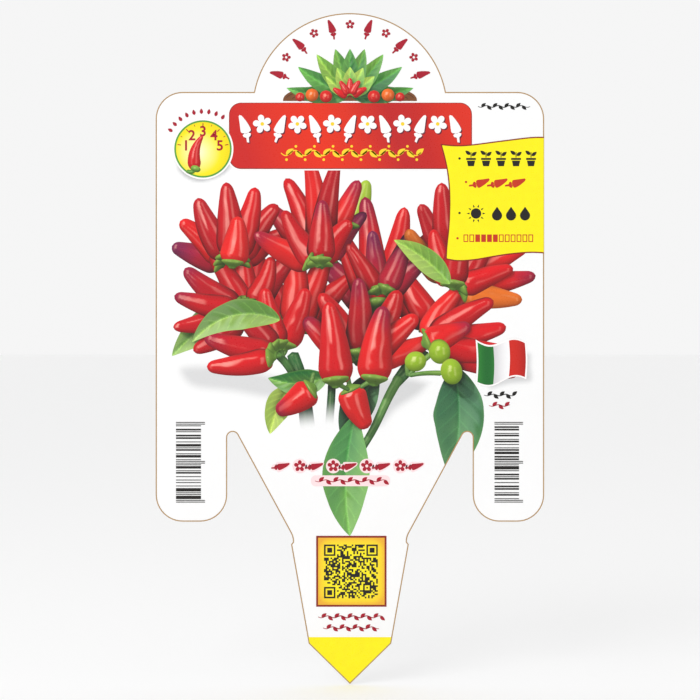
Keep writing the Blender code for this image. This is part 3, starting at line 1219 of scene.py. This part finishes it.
def ink(name, rgb, vary=0.05, rough=0.30):
    """A printed spot colour with a little mottle."""
    mat = bpy.data.materials.new(name)
    mat.use_nodes = True
    bsdf, fine = ink_nodes(mat, rough)
    nt = mat.node_tree
    co = nt.nodes.new("ShaderNodeTexCoord")
    cloud = nt.nodes.new("ShaderNodeTexNoise")
    cloud.inputs["Scale"].default_value = 420.0
    cloud.inputs["Detail"].default_value = 3.0
    nt.links.new(co.outputs["Object"], cloud.inputs["Vector"])
    ramp = nt.nodes.new("ShaderNodeValToRGB")
    c = lin(rgb)
    ramp.color_ramp.elements[0].position = 0.30
    ramp.color_ramp.elements[0].color = (*np.clip(c * (1 - vary) , 0, 1), 1)
    ramp.color_ramp.elements[1].position = 0.70
    ramp.color_ramp.elements[1].color = (*np.clip(c * (1 + vary * 0.6), 0, 1), 1)
    nt.links.new(cloud.outputs["Fac"], ramp.inputs["Fac"])
    nt.links.new(ramp.outputs["Color"], bsdf.inputs["Base Color"])
    return mat


def ink_ramp(name, stops, value_nodes, rough=0.30):
    """A printed blend: value_nodes(node_tree, coords) gives the ramp's input."""
    mat = bpy.data.materials.new(name)
    mat.use_nodes = True
    bsdf, fine = ink_nodes(mat, rough)
    nt = mat.node_tree
    co = nt.nodes.new("ShaderNodeTexCoord")
    sep = nt.nodes.new("ShaderNodeSeparateXYZ")
    nt.links.new(co.outputs["Object"], sep.inputs["Vector"])
    value = value_nodes(nt, sep)
    ramp = nt.nodes.new("ShaderNodeValToRGB")
    els = ramp.color_ramp.elements
    while len(els) > 1:
        els.remove(els[-1])
    els[0].position = stops[0][0]
    els[0].color = (*lin(stops[0][1]), 1)
    for pos, rgb in stops[1:]:
        e = els.new(pos)
        e.color = (*lin(rgb), 1)
    nt.links.new(value, ramp.inputs["Fac"])
    nt.links.new(ramp.outputs["Color"], bsdf.inputs["Base Color"])
    return mat


def map_range(nt, value, a, b, c=0.0, d=1.0):
    node = nt.nodes.new("ShaderNodeMapRange")
    node.inputs["From Min"].default_value = a
    node.inputs["From Max"].default_value = b
    node.inputs["To Min"].default_value = c
    node.inputs["To Max"].default_value = d
    nt.links.new(value, node.inputs["Value"])
    return node.outputs["Result"]


def maths(nt, op, a, b=None):
    node = nt.nodes.new("ShaderNodeMath")
    node.operation = op
    for i, v in enumerate((a, b)):
        if v is None:
            continue
        if isinstance(v, (int, float)):
            node.inputs[i].default_value = v
        else:
            nt.links.new(v, node.inputs[i])
    return node.outputs[0]


def gx(u):
    return mm(u, 0)[0] * 0.001


def gz(v):
    return mm(0, v)[1] * 0.001


# ---- the printed panels, ornaments and marks -----------------------------------

INK = {}


def inks():
    INK["black"] = ink("ink_black", (24, 21, 18), 0.10)
    INK["white"] = ink("ink_white", (252, 249, 248), 0.015)
    INK["yellow"] = ink("ink_yellow", (252, 238, 6), 0.03)
    INK["sun"] = ink("ink_warm_yellow", (255, 214, 44), 0.04)
    INK["red"] = ink("ink_red", (205, 28, 26), 0.06)
    INK["brick"] = ink("ink_brick_red", (198, 52, 24), 0.06)
    INK["crimson"] = ink("ink_crimson", (168, 12, 40), 0.07)
    INK["maroon"] = ink("ink_maroon", (138, 34, 22), 0.08)
    INK["plum"] = ink("ink_plum_shadow", (104, 26, 44), 0.08)
    INK["blush"] = ink("ink_blush_halo", (255, 224, 226), 0.02)
    INK["tan"] = ink("ink_cut_line", (176, 140, 92), 0.08)
    INK["leaf"] = ink("ink_leaf_green", (86, 158, 60), 0.07)
    INK["soil"] = ink("ink_soil_brown", (122, 74, 40), 0.14)
    INK["soil_dark"] = ink("ink_soil_dark", (84, 46, 26), 0.10)
    INK["field"] = ink("ink_deep_green", (34, 120, 52), 0.10)


def cut_edge_line():
    film("print_edge_line", [[inset(CUT, 0.05), inset(CUT, 0.40)]], INK["tan"], 1.6, in_mm=True)


def title_band():
    outer = round_rect(229, 102.7, 472, 169, 12)
    film("title_band_halo", [[round_rect(227.4, 101.4, 473.6, 170.4, 13)]], INK["white"], 2)

    def blend(nt, sep):
        across = map_range(nt, sep.outputs["X"], gx(229), gx(472))
        down = map_range(nt, sep.outputs["Z"], gz(103), gz(169), 0.0, 0.10)
        return maths(nt, "SUBTRACT", across, maths(nt, "MULTIPLY", down, 0.9))
    red = ink_ramp("ink_title_blend", [
        (0.00, (203, 32, 28)), (0.13, (219, 41, 21)), (0.32, (231, 46, 14)), (0.47, (219, 44, 20)),
        (0.64, (190, 30, 31)), (0.76, (196, 32, 27)), (0.88, (216, 42, 22)), (1.00, (222, 46, 26))], blend)
    film("title_band_rim", [[outer]], INK["maroon"], 3)
    film("title_band", [[round_rect(229.7, 103.3, 471.3, 168.2, 11.4)]], red, 3.5)

    white, shade = [], []
    pitch = 228 / 13.0
    for k in range(13):
        cx = 236 + pitch * (k + 0.5)
        if k % 2 == 0:
            lean = 104 if (k // 2) % 2 == 0 else 76
            parts = pod_shape(19.5, 10.5, 0.12 if lean > 90 else -0.12)
            a = math.radians(lean)
            bx, by = cx - math.cos(a) * 7.2, 133.4
            for loops in parts:
                white.append(place(loops, bx, by, lean))
                shade.append(place(loops, bx + 1.1, by + 1.2, lean))
        else:
            white.append(place(blossom(9.4, rot=90 + 12 * (k % 4)), cx, 124))
            shade.append(place(blossom(9.4, rot=90 + 12 * (k % 4)), cx + 1.1, 125.2))
    film("title_ornament_shade", shade, INK["plum"], 4)
    film("title_ornament", white, INK["white"], 5)
    film("title_ornament_eyes", [[circle(236 + pitch * (k + 0.5), 124, 1.9, 12)] for k in range(1, 13, 2)], INK["sun"], 5)
    film("title_vine", vine(281, 421, 153, 2.6, 9.3, 9.6, 5.2, 1.5), INK["sun"], 4.6)


def head_ornament():
    mound = [(283, 101)] + [(350 - 67 * math.cos(math.pi * i / 40), 101 - 17 * math.sin(math.pi * i / 40) ** 0.8)
                            for i in range(1, 40)] + [(417, 101)]
    film("head_soil", [[mound]], INK["soil"], 2.4)
    rows = []
    for k, s in enumerate((0.26, 0.52, 0.78)):
        line = [(350 - 67 * (1 - 0.16 * s) * math.cos(math.pi * i / 24) * (1 - 0.05 * k),
                 101 - (17 * (1 - s)) * max(math.sin(math.pi * i / 24), 0) ** 0.8 - 0.6) for i in range(1, 24)]
        rows.append(stroke(line, 1.3, 0.6))
    film("head_soil_rows", rows, INK["soil_dark"], 2.8)
    halo, leaf_arc = [], []
    n = 11
    for k in range(n):
        a = math.radians(158 - 136 * k / (n - 1))
        r = 72
        cx, cy = 350 + r * math.cos(a), 103 - r * math.sin(a)
        deg = math.degrees(a)
        if k % 2 == 0:
            parts = pod_shape(14, 7.5, 0.12 if k < n / 2 else -0.12)
            for loops in parts:
                leaf_arc.append(place(loops, cx, cy, deg))
            halo.append(place(parts[0][0:1], cx - 1.0 * math.cos(a), cy + 1.0 * math.sin(a), deg, 1.16))
        else:
            c2 = (350 + (r + 6.5) * math.cos(a), 103 - (r + 6.5) * math.sin(a))
            leaf_arc.append(place(blossom(4.6, rot=deg, n=40, eye=0.28), *c2))
    film("head_arc", leaf_arc, INK["crimson"], 3)


def heat_dial():
    cx, cy, R = 203.0, 149.0, 27.0

    def radial(nt, sep):
        dx = maths(nt, "SUBTRACT", sep.outputs["X"], gx(cx - 5))
        dz = maths(nt, "SUBTRACT", sep.outputs["Z"], gz(cy + 3))
        d = maths(nt, "SQRT", maths(nt, "ADD", maths(nt, "MULTIPLY", dx, dx), maths(nt, "MULTIPLY", dz, dz)))
        return map_range(nt, d, 0.0, 30 * UNIT * 0.001)
    disc = ink_ramp("ink_dial_blend", [(0.0, (255, 250, 214)), (0.35, (252, 244, 150)), (0.75, (247, 232, 24)), (1.0, (242, 220, 4))], radial)
    film("dial_white_rim", [[circle(cx, cy, R + 3.4, 64)]], INK["white"], 4)
    film("dial_green_rim", [[circle(cx, cy, R + 1.7, 64)]], INK["leaf"], 4.5)
    film("dial_face", [[circle(cx, cy, R, 64)]], disc, 5)
    ticks = []
    for k in range(9):
        a = math.radians(170 - 160 * k / 8)
        long = k % 2 == 0
        r1, r0 = R - 1.2, R - (4.6 if long else 3.2)
        w = 0.9 if long else 0.6
        px, py = -math.sin(a) * w / 2, -math.cos(a) * w / 2
        ca, sa = math.cos(a), math.sin(a)
        ticks.append([[(cx + r0 * ca + px, cy - r0 * sa + py), (cx + r1 * ca + px, cy - r1 * sa + py),
                       (cx + r1 * ca - px, cy - r1 * sa - py), (cx + r0 * ca - px, cy - r0 * sa - py)]])
    film("dial_ticks", ticks, INK["crimson"], 5.5)
    numbers = []
    for k in range(5):
        a = math.radians(170 - 160 * k / 4)
        numbers.append((str(k + 1), cx + 17.2 * math.cos(a), cy - 17.2 * math.sin(a)))
    dial_numbers(numbers, 10.5, INK["crimson"], 5.5)
    dots = []
    for k in range(9):
        a = math.radians(150 - 92 * k / 8)
        dots.append(place(leaf_shape(5.6, 3.4, 8), cx + 35.0 * math.cos(a), cy - 35.0 * math.sin(a), math.degrees(a) + 0))
    film("dial_outer_marks", dots, INK["crimson"], 2)


def dial_numbers(items, height, material, layer):
    """Plain numerals 1 to 5, as thin ink."""
    parts = []
    for text, u, v in items:
        curve = bpy.data.curves.new("numeral", "FONT")
        curve.body = text
        curve.align_x = "CENTER"
        curve.align_y = "CENTER"
        curve.size = height * UNIT * 0.001 * 1.35
        curve.offset = 0.00010
        curve.extrude = FILM * 0.4 * 0.001
        curve.resolution_u = 4
        obj = new_object("numeral", curve)
        x, z = mm(u, v)
        obj.location = (x * 0.001, FRONT_Y - (layer - 0.4) * FILM * 0.001, z * 0.001)
        obj.rotation_euler = (math.radians(90), 0, 0)
        parts.append(obj)
    bpy.context.view_layer.update()
    dg = bpy.context.evaluated_depsgraph_get()
    import bmesh
    bm = bmesh.new()
    for obj in parts:
        me = bpy.data.meshes.new_from_object(obj.evaluated_get(dg))
        me.transform(obj.matrix_world)
        bm.from_mesh(me)
        bpy.data.meshes.remove(me)
    bmesh.ops.remove_doubles(bm, verts=bm.verts, dist=1e-7)
    mesh = bpy.data.meshes.new("dial_numbers")
    bm.to_mesh(mesh)
    bm.free()
    for obj in parts:
        data = obj.data
        bpy.data.objects.remove(obj)
        bpy.data.curves.remove(data)
    out = new_object("dial_numbers", mesh)
    mesh.materials.append(material)
    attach(out, "root")


def care_flag():
    right = 544.2 - 0.5
    top = spline([(440.5, 144.0), (456, 145.2), (472, 144.4), (500, 140.8), (530, 137.2), (546, 136.8)])
    left = spline([(440.5, 144.0), (444, 157), (446.8, 170), (448.6, 185), (449.2, 200), (448.9, 215), (448.0, 230), (446.2, 247), (445.5, 259.4)])
    bottom = spline([(445.5, 259.4), (455, 261.0), (464, 261.2), (477, 259.9), (490, 257.6), (507, 254.9), (524, 253.2), (535, 252.9), (546, 253.6)])
    outer = cut_left(left + bottom[1:] + top[::-1][:-1], right)
    film("care_flag_border", [[outer]], INK["maroon"], 4)
    w = 1.25
    top_i = [(u, v + w) for u, v in top]
    top_i[0] = (442.4, 145.3)
    left_i = [(u + w, v) for u, v in left]
    bottom_i = [(u, v - w) for u, v in bottom]
    left_i = [p for p in left_i if 145.4 < p[1] < 258.0]
    bottom_i = [p for p in bottom_i if p[0] > 447.2]
    inner = cut_left([(442.4, 145.3)] + left_i + [(446.9, 258.3)] + bottom_i + [p for p in top_i[::-1] if p[0] > 443], right)
    film("care_flag", [[inner]], INK["yellow"], 4.5)

    black, red = [], []

    def bullet(u, v, where):
        where.append([circle(u, v, 1.2, 14)])

    def pot(u, v, s, where):
        where.append([[(u - 5 * s, v), (u + 5 * s, v), (u + 5 * s, v + 2 * s), (u - 5 * s, v + 2 * s)]])
        where.append([[(u - 4.2 * s, v + 2.7 * s), (u + 4.2 * s, v + 2.7 * s), (u + 3 * s, v + 8.4 * s), (u - 3 * s, v + 8.4 * s)]])
        where.append([[(u - 0.45 * s, v - 0.4), (u - 0.45 * s, v - 6 * s), (u + 0.45 * s, v - 6 * s), (u + 0.45 * s, v - 0.4)]])
        where.append(place(leaf_shape(6.5 * s, 3.6 * s, 10), u + 0.7 * s, v - 2.2 * s, 38))
        where.append(place(leaf_shape(6.5 * s, 3.6 * s, 10), u - 0.7 * s, v - 3.4 * s, 142))
    # first block: pots in a row
    bullet(459.5, 158.5, black)
    for k, u in enumerate((471, 486, 501, 516, 531)):
        pot(u, 158.0, 0.98, black)
    # second block: three bright chillies
    bullet(466, 182, red)
    for u in (476, 494, 512):
        for loops in pod_shape(14.5, 8.2, 0.13):
            red.append(place(loops, u, 184.5, 14))
    # third block: sun and drops
    bullet(459.5, 213, black)

    def sun(u, v, r, where):
        where.append([circle(u, v, r, 28)])
        for k in range(10):
            a = 2 * math.pi * k / 10
            ca, sa = math.cos(a), math.sin(a)
            tri = [(u + (r + 1.3) * ca - 0.9 * sa, v + (r + 1.3) * sa + 0.9 * ca), (u + (r + 4.3) * ca, v + (r + 4.3) * sa),
                   (u + (r + 1.3) * ca + 0.9 * sa, v + (r + 1.3) * sa - 0.9 * ca)]
            where.append([tri])
    sun(476, 213.5, 5.2, black)

    def drop(u, v, s, where):
        pts = [(u, v - 8 * s)]
        for i in range(21):
            a = math.radians(-40 + 260 * i / 20)
            pts.append((u + 4.6 * s * math.cos(a), v + 4.6 * s * math.sin(a)))
        where.append([pts])
    drop(497, 215.5, 1.1, black)
    drop(511, 215.5, 1.1, black)
    # twelve little month cells: planting time in red
    for k in range(12):
        u = 463.5 + k * 5.9
        filled = k in (2, 3, 4, 5)
        cell = [rect(u, 228.5 + 6, u + 4.7, 228.5 + 13.5)]
        if filled:
            red.append(cell)
        else:
            cell.append(rect(u + 0.9, 235.4, u + 3.8, 241.1))
            red.append(cell)
    bullet(457.5, 238.3, red)
    drop(525, 215.5, 1.1, black)
    film("care_marks_black", black, INK["black"], 5)
    film("care_marks_red", red, INK["brick"], 5)


def wave_point(s, t):
    """A point of the waving flag: s across, t down, both 0..1."""
    u = 477.4 + s * 47.4 + 1.0 * math.sin(math.pi * t)
    v = 341.8 + t * 39.6 + 4.2 * math.sin(2 * math.pi * (s * 0.92 + 0.02)) + 1.4 * s * (1 - 2 * t) * 2
    return u, v


def wave_quad(s0, s1, t0=0.0, t1=1.0, n=18):
    top = [wave_point(s0 + (s1 - s0) * i / n, t0) for i in range(n + 1)]
    right = [wave_point(s1, t0 + (t1 - t0) * i / n) for i in range(1, n + 1)]
    bottom = [wave_point(s1 + (s0 - s1) * i / n, t1) for i in range(1, n + 1)]
    left = [wave_point(s0, t1 + (t0 - t1) * i / n) for i in range(1, n)]
    return top + right + bottom + left


def tricolour():
    film("tricolour_edge", [[wave_quad(-0.035, 1.035, -0.045, 1.045)]], INK["white"], 4)

    def folds(base, hi, lo):
        def value(nt, sep):
            x = map_range(nt, sep.outputs["X"], gx(477.4), gx(524.8), 0.0, 1.0)
            w = maths(nt, "SINE", maths(nt, "MULTIPLY", maths(nt, "ADD", x, 0.05), 2 * math.pi * 0.95))
            return map_range(nt, w, -1.0, 1.0)
        return [(0.0, hi), (0.5, base), (1.0, lo)], value
    for name, s0, s1, cols in (("green", 0.0, 0.335, ((52, 142, 50), (84, 176, 70), (24, 104, 40))),
                               ("white", 0.335, 0.665, ((232, 230, 232), (250, 250, 250), (204, 200, 204))),
                               ("red", 0.665, 1.0, ((176, 20, 14), (206, 34, 20), (140, 12, 12)))):
        stops, value = folds(*cols)
        film("tricolour_" + name, [[wave_quad(s0, s1)]], ink_ramp("ink_tricolour_" + name, stops, value), 4.5)
    film("origin_marks_black", vine(484, 515, 395, 0.8, 6.2, 6.2, 3.4, 0.9, False), INK["black"], 2)
    film("origin_marks_red", vine(489, 510, 405.5, 0.8, 6.2, 6.2, 3.4, 0.9, False), INK["crimson"], 2)


def bars(name, u0, u1, guard_u, v0, v1, seed):
    """A made-up run of bars between guard bars: it encodes nothing."""
    rng = np.random.default_rng(seed)
    cells = [1, 0, 1]
    for half in range(2):
        for digit in range(6):
            while True:
                w = rng.integers(1, 5, 4)
                if w.sum() == 7:
                    break
            bit = half
            for k in w:
                cells += [bit] * int(k)
                bit = 1 - bit
        if half == 0:
            cells += [0, 1, 0, 1, 0]
    cells += [1, 0, 1]
    pitch = (v1 - v0) / len(cells)
    guards = set(range(3)) | set(range(len(cells) - 3, len(cells))) | set(range(45, 50))
    shapes = []
    i = 0
    while i < len(cells):
        if cells[i]:
            j = i
            while j < len(cells) and cells[j] and ((j in guards) == (i in guards)):
                j += 1
            right = guard_u if i in guards else u1
            shapes.append([rect(u0, v0 + i * pitch, right, v0 + j * pitch)])
            i = j
        else:
            i += 1
    film(name, shapes, INK["black"], 2)


def lower_marks():
    """Rows of small ornaments on the stake, where small print would be."""
    halo, marks = [], []
    n = 9
    for k in range(n):
        cx = 283 + (417 - 283) * k / (n - 1)
        if k % 2 == 0:
            parts = pod_shape(13.2, 6.6, 0.12)
            for loops in parts:
                marks.append(place(loops, cx - 6.0, 467.4, 10))
            halo.append(place(pod_shape(15.6, 10.5, 0.10)[0], cx - 7.4, 467.6, 10))
            halo.append([circle(cx - 8.2, 467.2, 3.2, 18)])
        else:
            marks.append(place(blossom(5.9, n=40, eye=0.26), cx, 466))
            halo.append([circle(cx, 466, 7.3, 26)])
    halo.append([round_rect(311, 475.4, 390, 486.2, 4.5)])
    film("lower_marks_halo", halo, INK["blush"], 2)
    film("lower_marks", marks, INK["crimson"], 3)
    film("lower_marks_vine", vine(315, 387, 480.8, 1.0, 7.2, 6.6, 3.6, 1.0, False), INK["crimson"], 3)
    film("stake_marks_one", vine(318, 383, 616.8, 1.0, 6.5, 6.2, 3.4, 1.0, False), INK["crimson"], 2)
    film("stake_marks_two", vine(323, 379, 627.8, 1.0, 6.5, 6.2, 3.4, 1.0, False), INK["crimson"], 2)
    film("top_right_marks", vine(478, 530, 106.4, 0.9, 5.8, 5.8, 3.0, 0.9, False), INK["black"], 2)


def code_panel():
    u0, v0, u1, v1 = 316.2, 535.8, 386.5, 606.7
    film("code_panel_border", [[rect(u0, v0, u1, v1)]], INK["maroon"], 2.4)
    cx, cz, half = gx((u0 + u1) / 2), gz((v0 + v1) / 2), 34 * UNIT * 0.001

    def square(nt, sep):
        dx = maths(nt, "ABSOLUTE", maths(nt, "SUBTRACT", sep.outputs["X"], cx))
        dz = maths(nt, "ABSOLUTE", maths(nt, "SUBTRACT", sep.outputs["Z"], cz))
        # an eighth-power blend of both distances gives soft square rings
        p = maths(nt, "POWER", maths(nt, "DIVIDE", dx, half), 6.0)
        q = maths(nt, "POWER", maths(nt, "DIVIDE", dz, half), 6.0)
        return maths(nt, "POWER", maths(nt, "ADD", p, q), 1 / 6.0)
    face = ink_ramp("ink_panel_blend", [(0.0, (253, 240, 30)), (0.70, (251, 234, 30)), (0.90, (248, 208, 44)), (1.0, (238, 176, 52))], square)
    film("code_panel", [[rect(u0 + 1.9, v0 + 1.9, u1 - 1.9, v1 - 1.9)]], face, 2.8)

    n = 33
    c0, r0 = 324.0, 544.5
    pitch = 53.8 / n
    rng = np.random.default_rng(77)
    grid = rng.random((n, n)) < 0.52
    for gy, gxx in ((0, 0), (0, n - 7), (n - 7, 0)):
        y0, x0 = max(gy - 1, 0), max(gxx - 1, 0)
        grid[y0:gy + 8, x0:gxx + 8] = False
        grid[gy:gy + 7, gxx:gxx + 7] = True
        grid[gy + 1:gy + 6, gxx + 1:gxx + 6] = False
        grid[gy + 2:gy + 5, gxx + 2:gxx + 5] = True
    grid[24:29, 24:29] = True
    grid[25:28, 25:28] = False
    grid[26, 26] = True
    shapes = []
    for y in range(n):
        x = 0
        while x < n:
            if grid[y, x]:
                e = x
                while e < n and grid[y, e]:
                    e += 1
                shapes.append([rect(c0 + x * pitch, r0 + y * pitch, c0 + e * pitch, r0 + (y + 1) * pitch)])
                x = e
            else:
                x += 1
    film("code_panel_cells", shapes, INK["black"], 3.4)


def point_colour():
    edge = inset(CUT, 0.06)
    layout = [(x / UNIT + U0, V0 - z / UNIT) for x, z in edge]
    tip = cut_below(layout, 637.1)
    film("point_yellow", [[tip]], INK["yellow"], 1.2)


def head_picture():
    """A leafy rosette with small fruits for the label's head."""
    els = []
    rng = np.random.default_rng(4)

    def leaf(ang, length, width, z0, light, dark, bend=0.0, start=2.0, hub=(350, 97)):
        a = math.radians(ang)
        b = (hub[0] + math.cos(a) * start, hub[1] - math.sin(a) * start)
        e = (hub[0] + math.cos(a) * (start + length), hub[1] - math.sin(a) * (start + length))
        els.append(Leaf(curve_axis(mm(*b), mm(*e), bend * UNIT, 22), width * UNIT / 2, z0, "head", light=light, dark=dark,
                        seed=int(rng.integers(1, 999)), fold=0.45, gloss=0.3, split=0.3, grade=0.5))
    for ang, length, width, z0, bend in ((8, 62, 17, 0.5, -3), (172, 62, 17, 0.5, 3), (30, 58, 18, 0.8, -2), (150, 58, 18, 0.8, 2),
                                         (52, 52, 18, 1.1, -1), (128, 52, 18, 1.1, 1), (73, 48, 18, 1.4, 0), (107, 48, 18, 1.4, 0),
                                         (90, 46, 18, 1.8, 0)):
        shade = int(rng.integers(0, 3))
        light = [(150, 196, 70), (120, 180, 66), (96, 168, 66)][shade]
        dark = [(70, 142, 46), (44, 124, 48), (26, 112, 50)][shade]
        leaf(ang, length, width, z0, light, dark, bend)
    for ang, length, width, z0 in ((40, 30, 15, 2.6), (140, 30, 15, 2.6), (66, 30, 15, 2.9), (114, 30, 15, 2.9), (90, 28, 15, 3.2)):
        leaf(ang, length, width, z0, (176, 208, 84), (96, 164, 56))

    def ball(u, v, r, z0, rgb, deep):
        els.append(Strand("pod", np.linspace(mm(u, v + r), mm(u, v - r), 16), round_radius(r * UNIT), z0, 0.0, "head",
                          colour=rgb, deep=deep, seed=int(rng.integers(1, 999)), gloss=1.0, soft=0.5, shine=(255, 226, 200)))
    for u, v, r, kind in ((312, 95, 6.4, 0), (326, 96.5, 6.2, 1), (374, 96.5, 6.2, 1), (388, 95, 6.4, 0), (300, 97, 4.6, 1), (400, 97, 4.6, 1)):
        ball(u, v, r, 4.0 + rng.uniform(0, 0.6), [(232, 106, 28), (214, 30, 24)][kind], [(150, 50, 6), (120, 6, 10)][kind])
    for ang, z0 in ((152, 5.0), (28, 5.0), (90, 5.6), (122, 5.3), (58, 5.3)):
        a = math.radians(ang)
        b = (350 + 3 * math.cos(a), 97 - 3 * math.sin(a))
        e = (350 + 19 * math.cos(a), 97 - 19 * math.sin(a))
        els.append(Strand("pod", curve_axis(mm(*b), mm(*e), rng.uniform(-1, 1) * UNIT, 16), pod_radius(4.2 * UNIT), z0, 0.1, "head",
                          colour=(212, 22, 26), seed=int(rng.integers(1, 999)), gloss=1.1, soft=0.4))
    return els


def dial_picture():
    els = []
    cx, cy = 203.0, 152.0
    els.append(Strand("green", np.array(bezier(mm(194.5, 170.5), mm(190.0, 173.5), mm(186.5, 170.5), 10)),
                      stem_radius(0.75, 0.55), 3.0, 0.0, "dial", colour=(92, 150, 52), seed=4))
    els.append(Strand("pod", curve_axis(mm(195.5, 169.5), mm(203.0, 135.5), 4.5 * UNIT), pod_radius(6.6 * UNIT, 1.4, 0.80), 3.4, 0.1,
                      "dial", colour=(214, 18, 24), seed=61, gloss=1.1, soft=0.3))
    els.append(Strand("green", np.linspace(mm(194.6, 172.0), mm(196.8, 165.6), 10), round_radius(5.0 * UNIT), 3.7, 0.1, "dial",
                      colour=(92, 150, 52), colour2=(130, 176, 66), seed=9))
    return els


def soft_shadows():
    els = []

    def blob(points, fade, dark, group="shadow"):
        els.append(SoftShadow(mm_list(spline(points + points[:1], 8)[:-1]), fade * UNIT, dark, 0.01 + 0.001 * len(els), group))
    # under the bunch
    blob([(438, 380), (408, 372), (370, 376), (356, 396), (366, 424), (382, 432), (400, 414), (424, 398)], 12, 0.30)
    blob([(286, 372), (240, 362), (186, 360), (174, 372), (190, 392), (232, 398), (270, 404), (288, 396)], 13, 0.26)
    # flag and dial
    blob([(482, 350), (504, 348), (532, 350), (535, 366), (534, 384), (510, 388), (488, 392), (481, 372)], 8, 0.30, "flag_shadow")
    blob([(172, 150), (180, 128), (204, 120), (228, 130), (236, 152), (228, 174), (200, 184.5), (178, 174)], 5, 0.42, "dial_shadow")
    return els


# ---- build ---------------------------------------------------------------------

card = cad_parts["label_card"]
card.data.materials.clear()
card.data.materials.append(card_material())

ink_picture = picture_material()


def print_picture(prefix, els, layer, step):
    for group, (pts, tris, cols) in paint_picture(els, step).items():
        obj = picture_mesh(prefix + group, pts, tris, cols, layer)
        obj.data.materials.append(ink_picture)
        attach(obj, "root")


inks()
cut_edge_line()
point_colour()
print_picture("print_", soft_shadows(), 0.5, 0.9)
print_picture("print_bunch_", build_bunch(), 1, 0.34)
title_band()
head_ornament()
print_picture("print_", head_picture(), 3.4, 0.32)
heat_dial()
print_picture("print_", dial_picture(), 6, 0.30)
care_flag()
tricolour()
bars("bars_left", 176.0, 201.0, 205.0, 422.0, 502.5, 11)
bars("bars_right", 494.5, 519.0, 523.0, 422.0, 502.5, 29)
lower_marks()
code_panel()


# ---- floor, light and camera ----------------------------------------------------

def stage_and_light():
    scene = bpy.context.scene
    floor_mesh = bpy.data.meshes.new("floor")
    z = float(CARD_BOX[0][2]) - 0.0002
    s = 40.0
    floor_mesh.from_pydata([(-s, -s, z), (s, -s, z), (s, s, z), (-s, s, z)], [], [(0, 1, 2, 3)])
    floor = new_object("floor", floor_mesh)
    mat = bpy.data.materials.new("floor_pale")
    mat.use_nodes = True
    bsdf = mat.node_tree.nodes["Principled BSDF"]
    bsdf.inputs["Base Color"].default_value = (0.96, 0.96, 0.96, 1)
    bsdf.inputs["Roughness"].default_value = 0.8
    bsdf.inputs["Specular IOR Level"].default_value = 0.1
    floor.data.materials.append(mat)

    world = bpy.data.worlds.new("studio")
    scene.world = world
    world.use_nodes = True
    bg = world.node_tree.nodes["Background"]
    bg.inputs["Color"].default_value = (1, 1, 1, 1)
    bg.inputs["Strength"].default_value = 0.92

    def area(name, loc, target, size, watts):
        light = bpy.data.lights.new(name, "AREA")
        light.shape = "RECTANGLE"
        light.size, light.size_y = size
        light.energy = watts
        obj = bpy.data.objects.new(name, light)
        scene.collection.objects.link(obj)
        obj.location = loc
        obj.rotation_euler = (Vector(target) - Vector(loc)).to_track_quat("-Z", "Y").to_euler()
        return obj

    mid = (0.0, 0.0, 0.06)
    area("key", (-0.45, -0.80, 0.60), mid, (0.6, 0.6), 2.2)

    cam_data = bpy.data.cameras.new("camera")
    cam_data.sensor_width = 36.0
    cam_data.lens = 100.0
    cam_data.dof.use_dof = False
    cam = bpy.data.objects.new("camera", cam_data)
    scene.collection.objects.link(cam)
    width = 700 * UNIT * 0.001
    dist = width * cam_data.lens / cam_data.sensor_width
    cx = (350.0 - U0) * UNIT * 0.001
    cz = (V0 - 350.0) * UNIT * 0.001
    cam.location = (cx, FRONT_Y - dist, cz)
    cam.rotation_euler = (math.radians(90), 0, 0)
    cam_data.clip_start = 0.01
    cam_data.clip_end = 120.0
    scene.camera = cam
    scene.view_settings.view_transform = "Standard"
    scene.view_settings.look = "None"


stage_and_light()
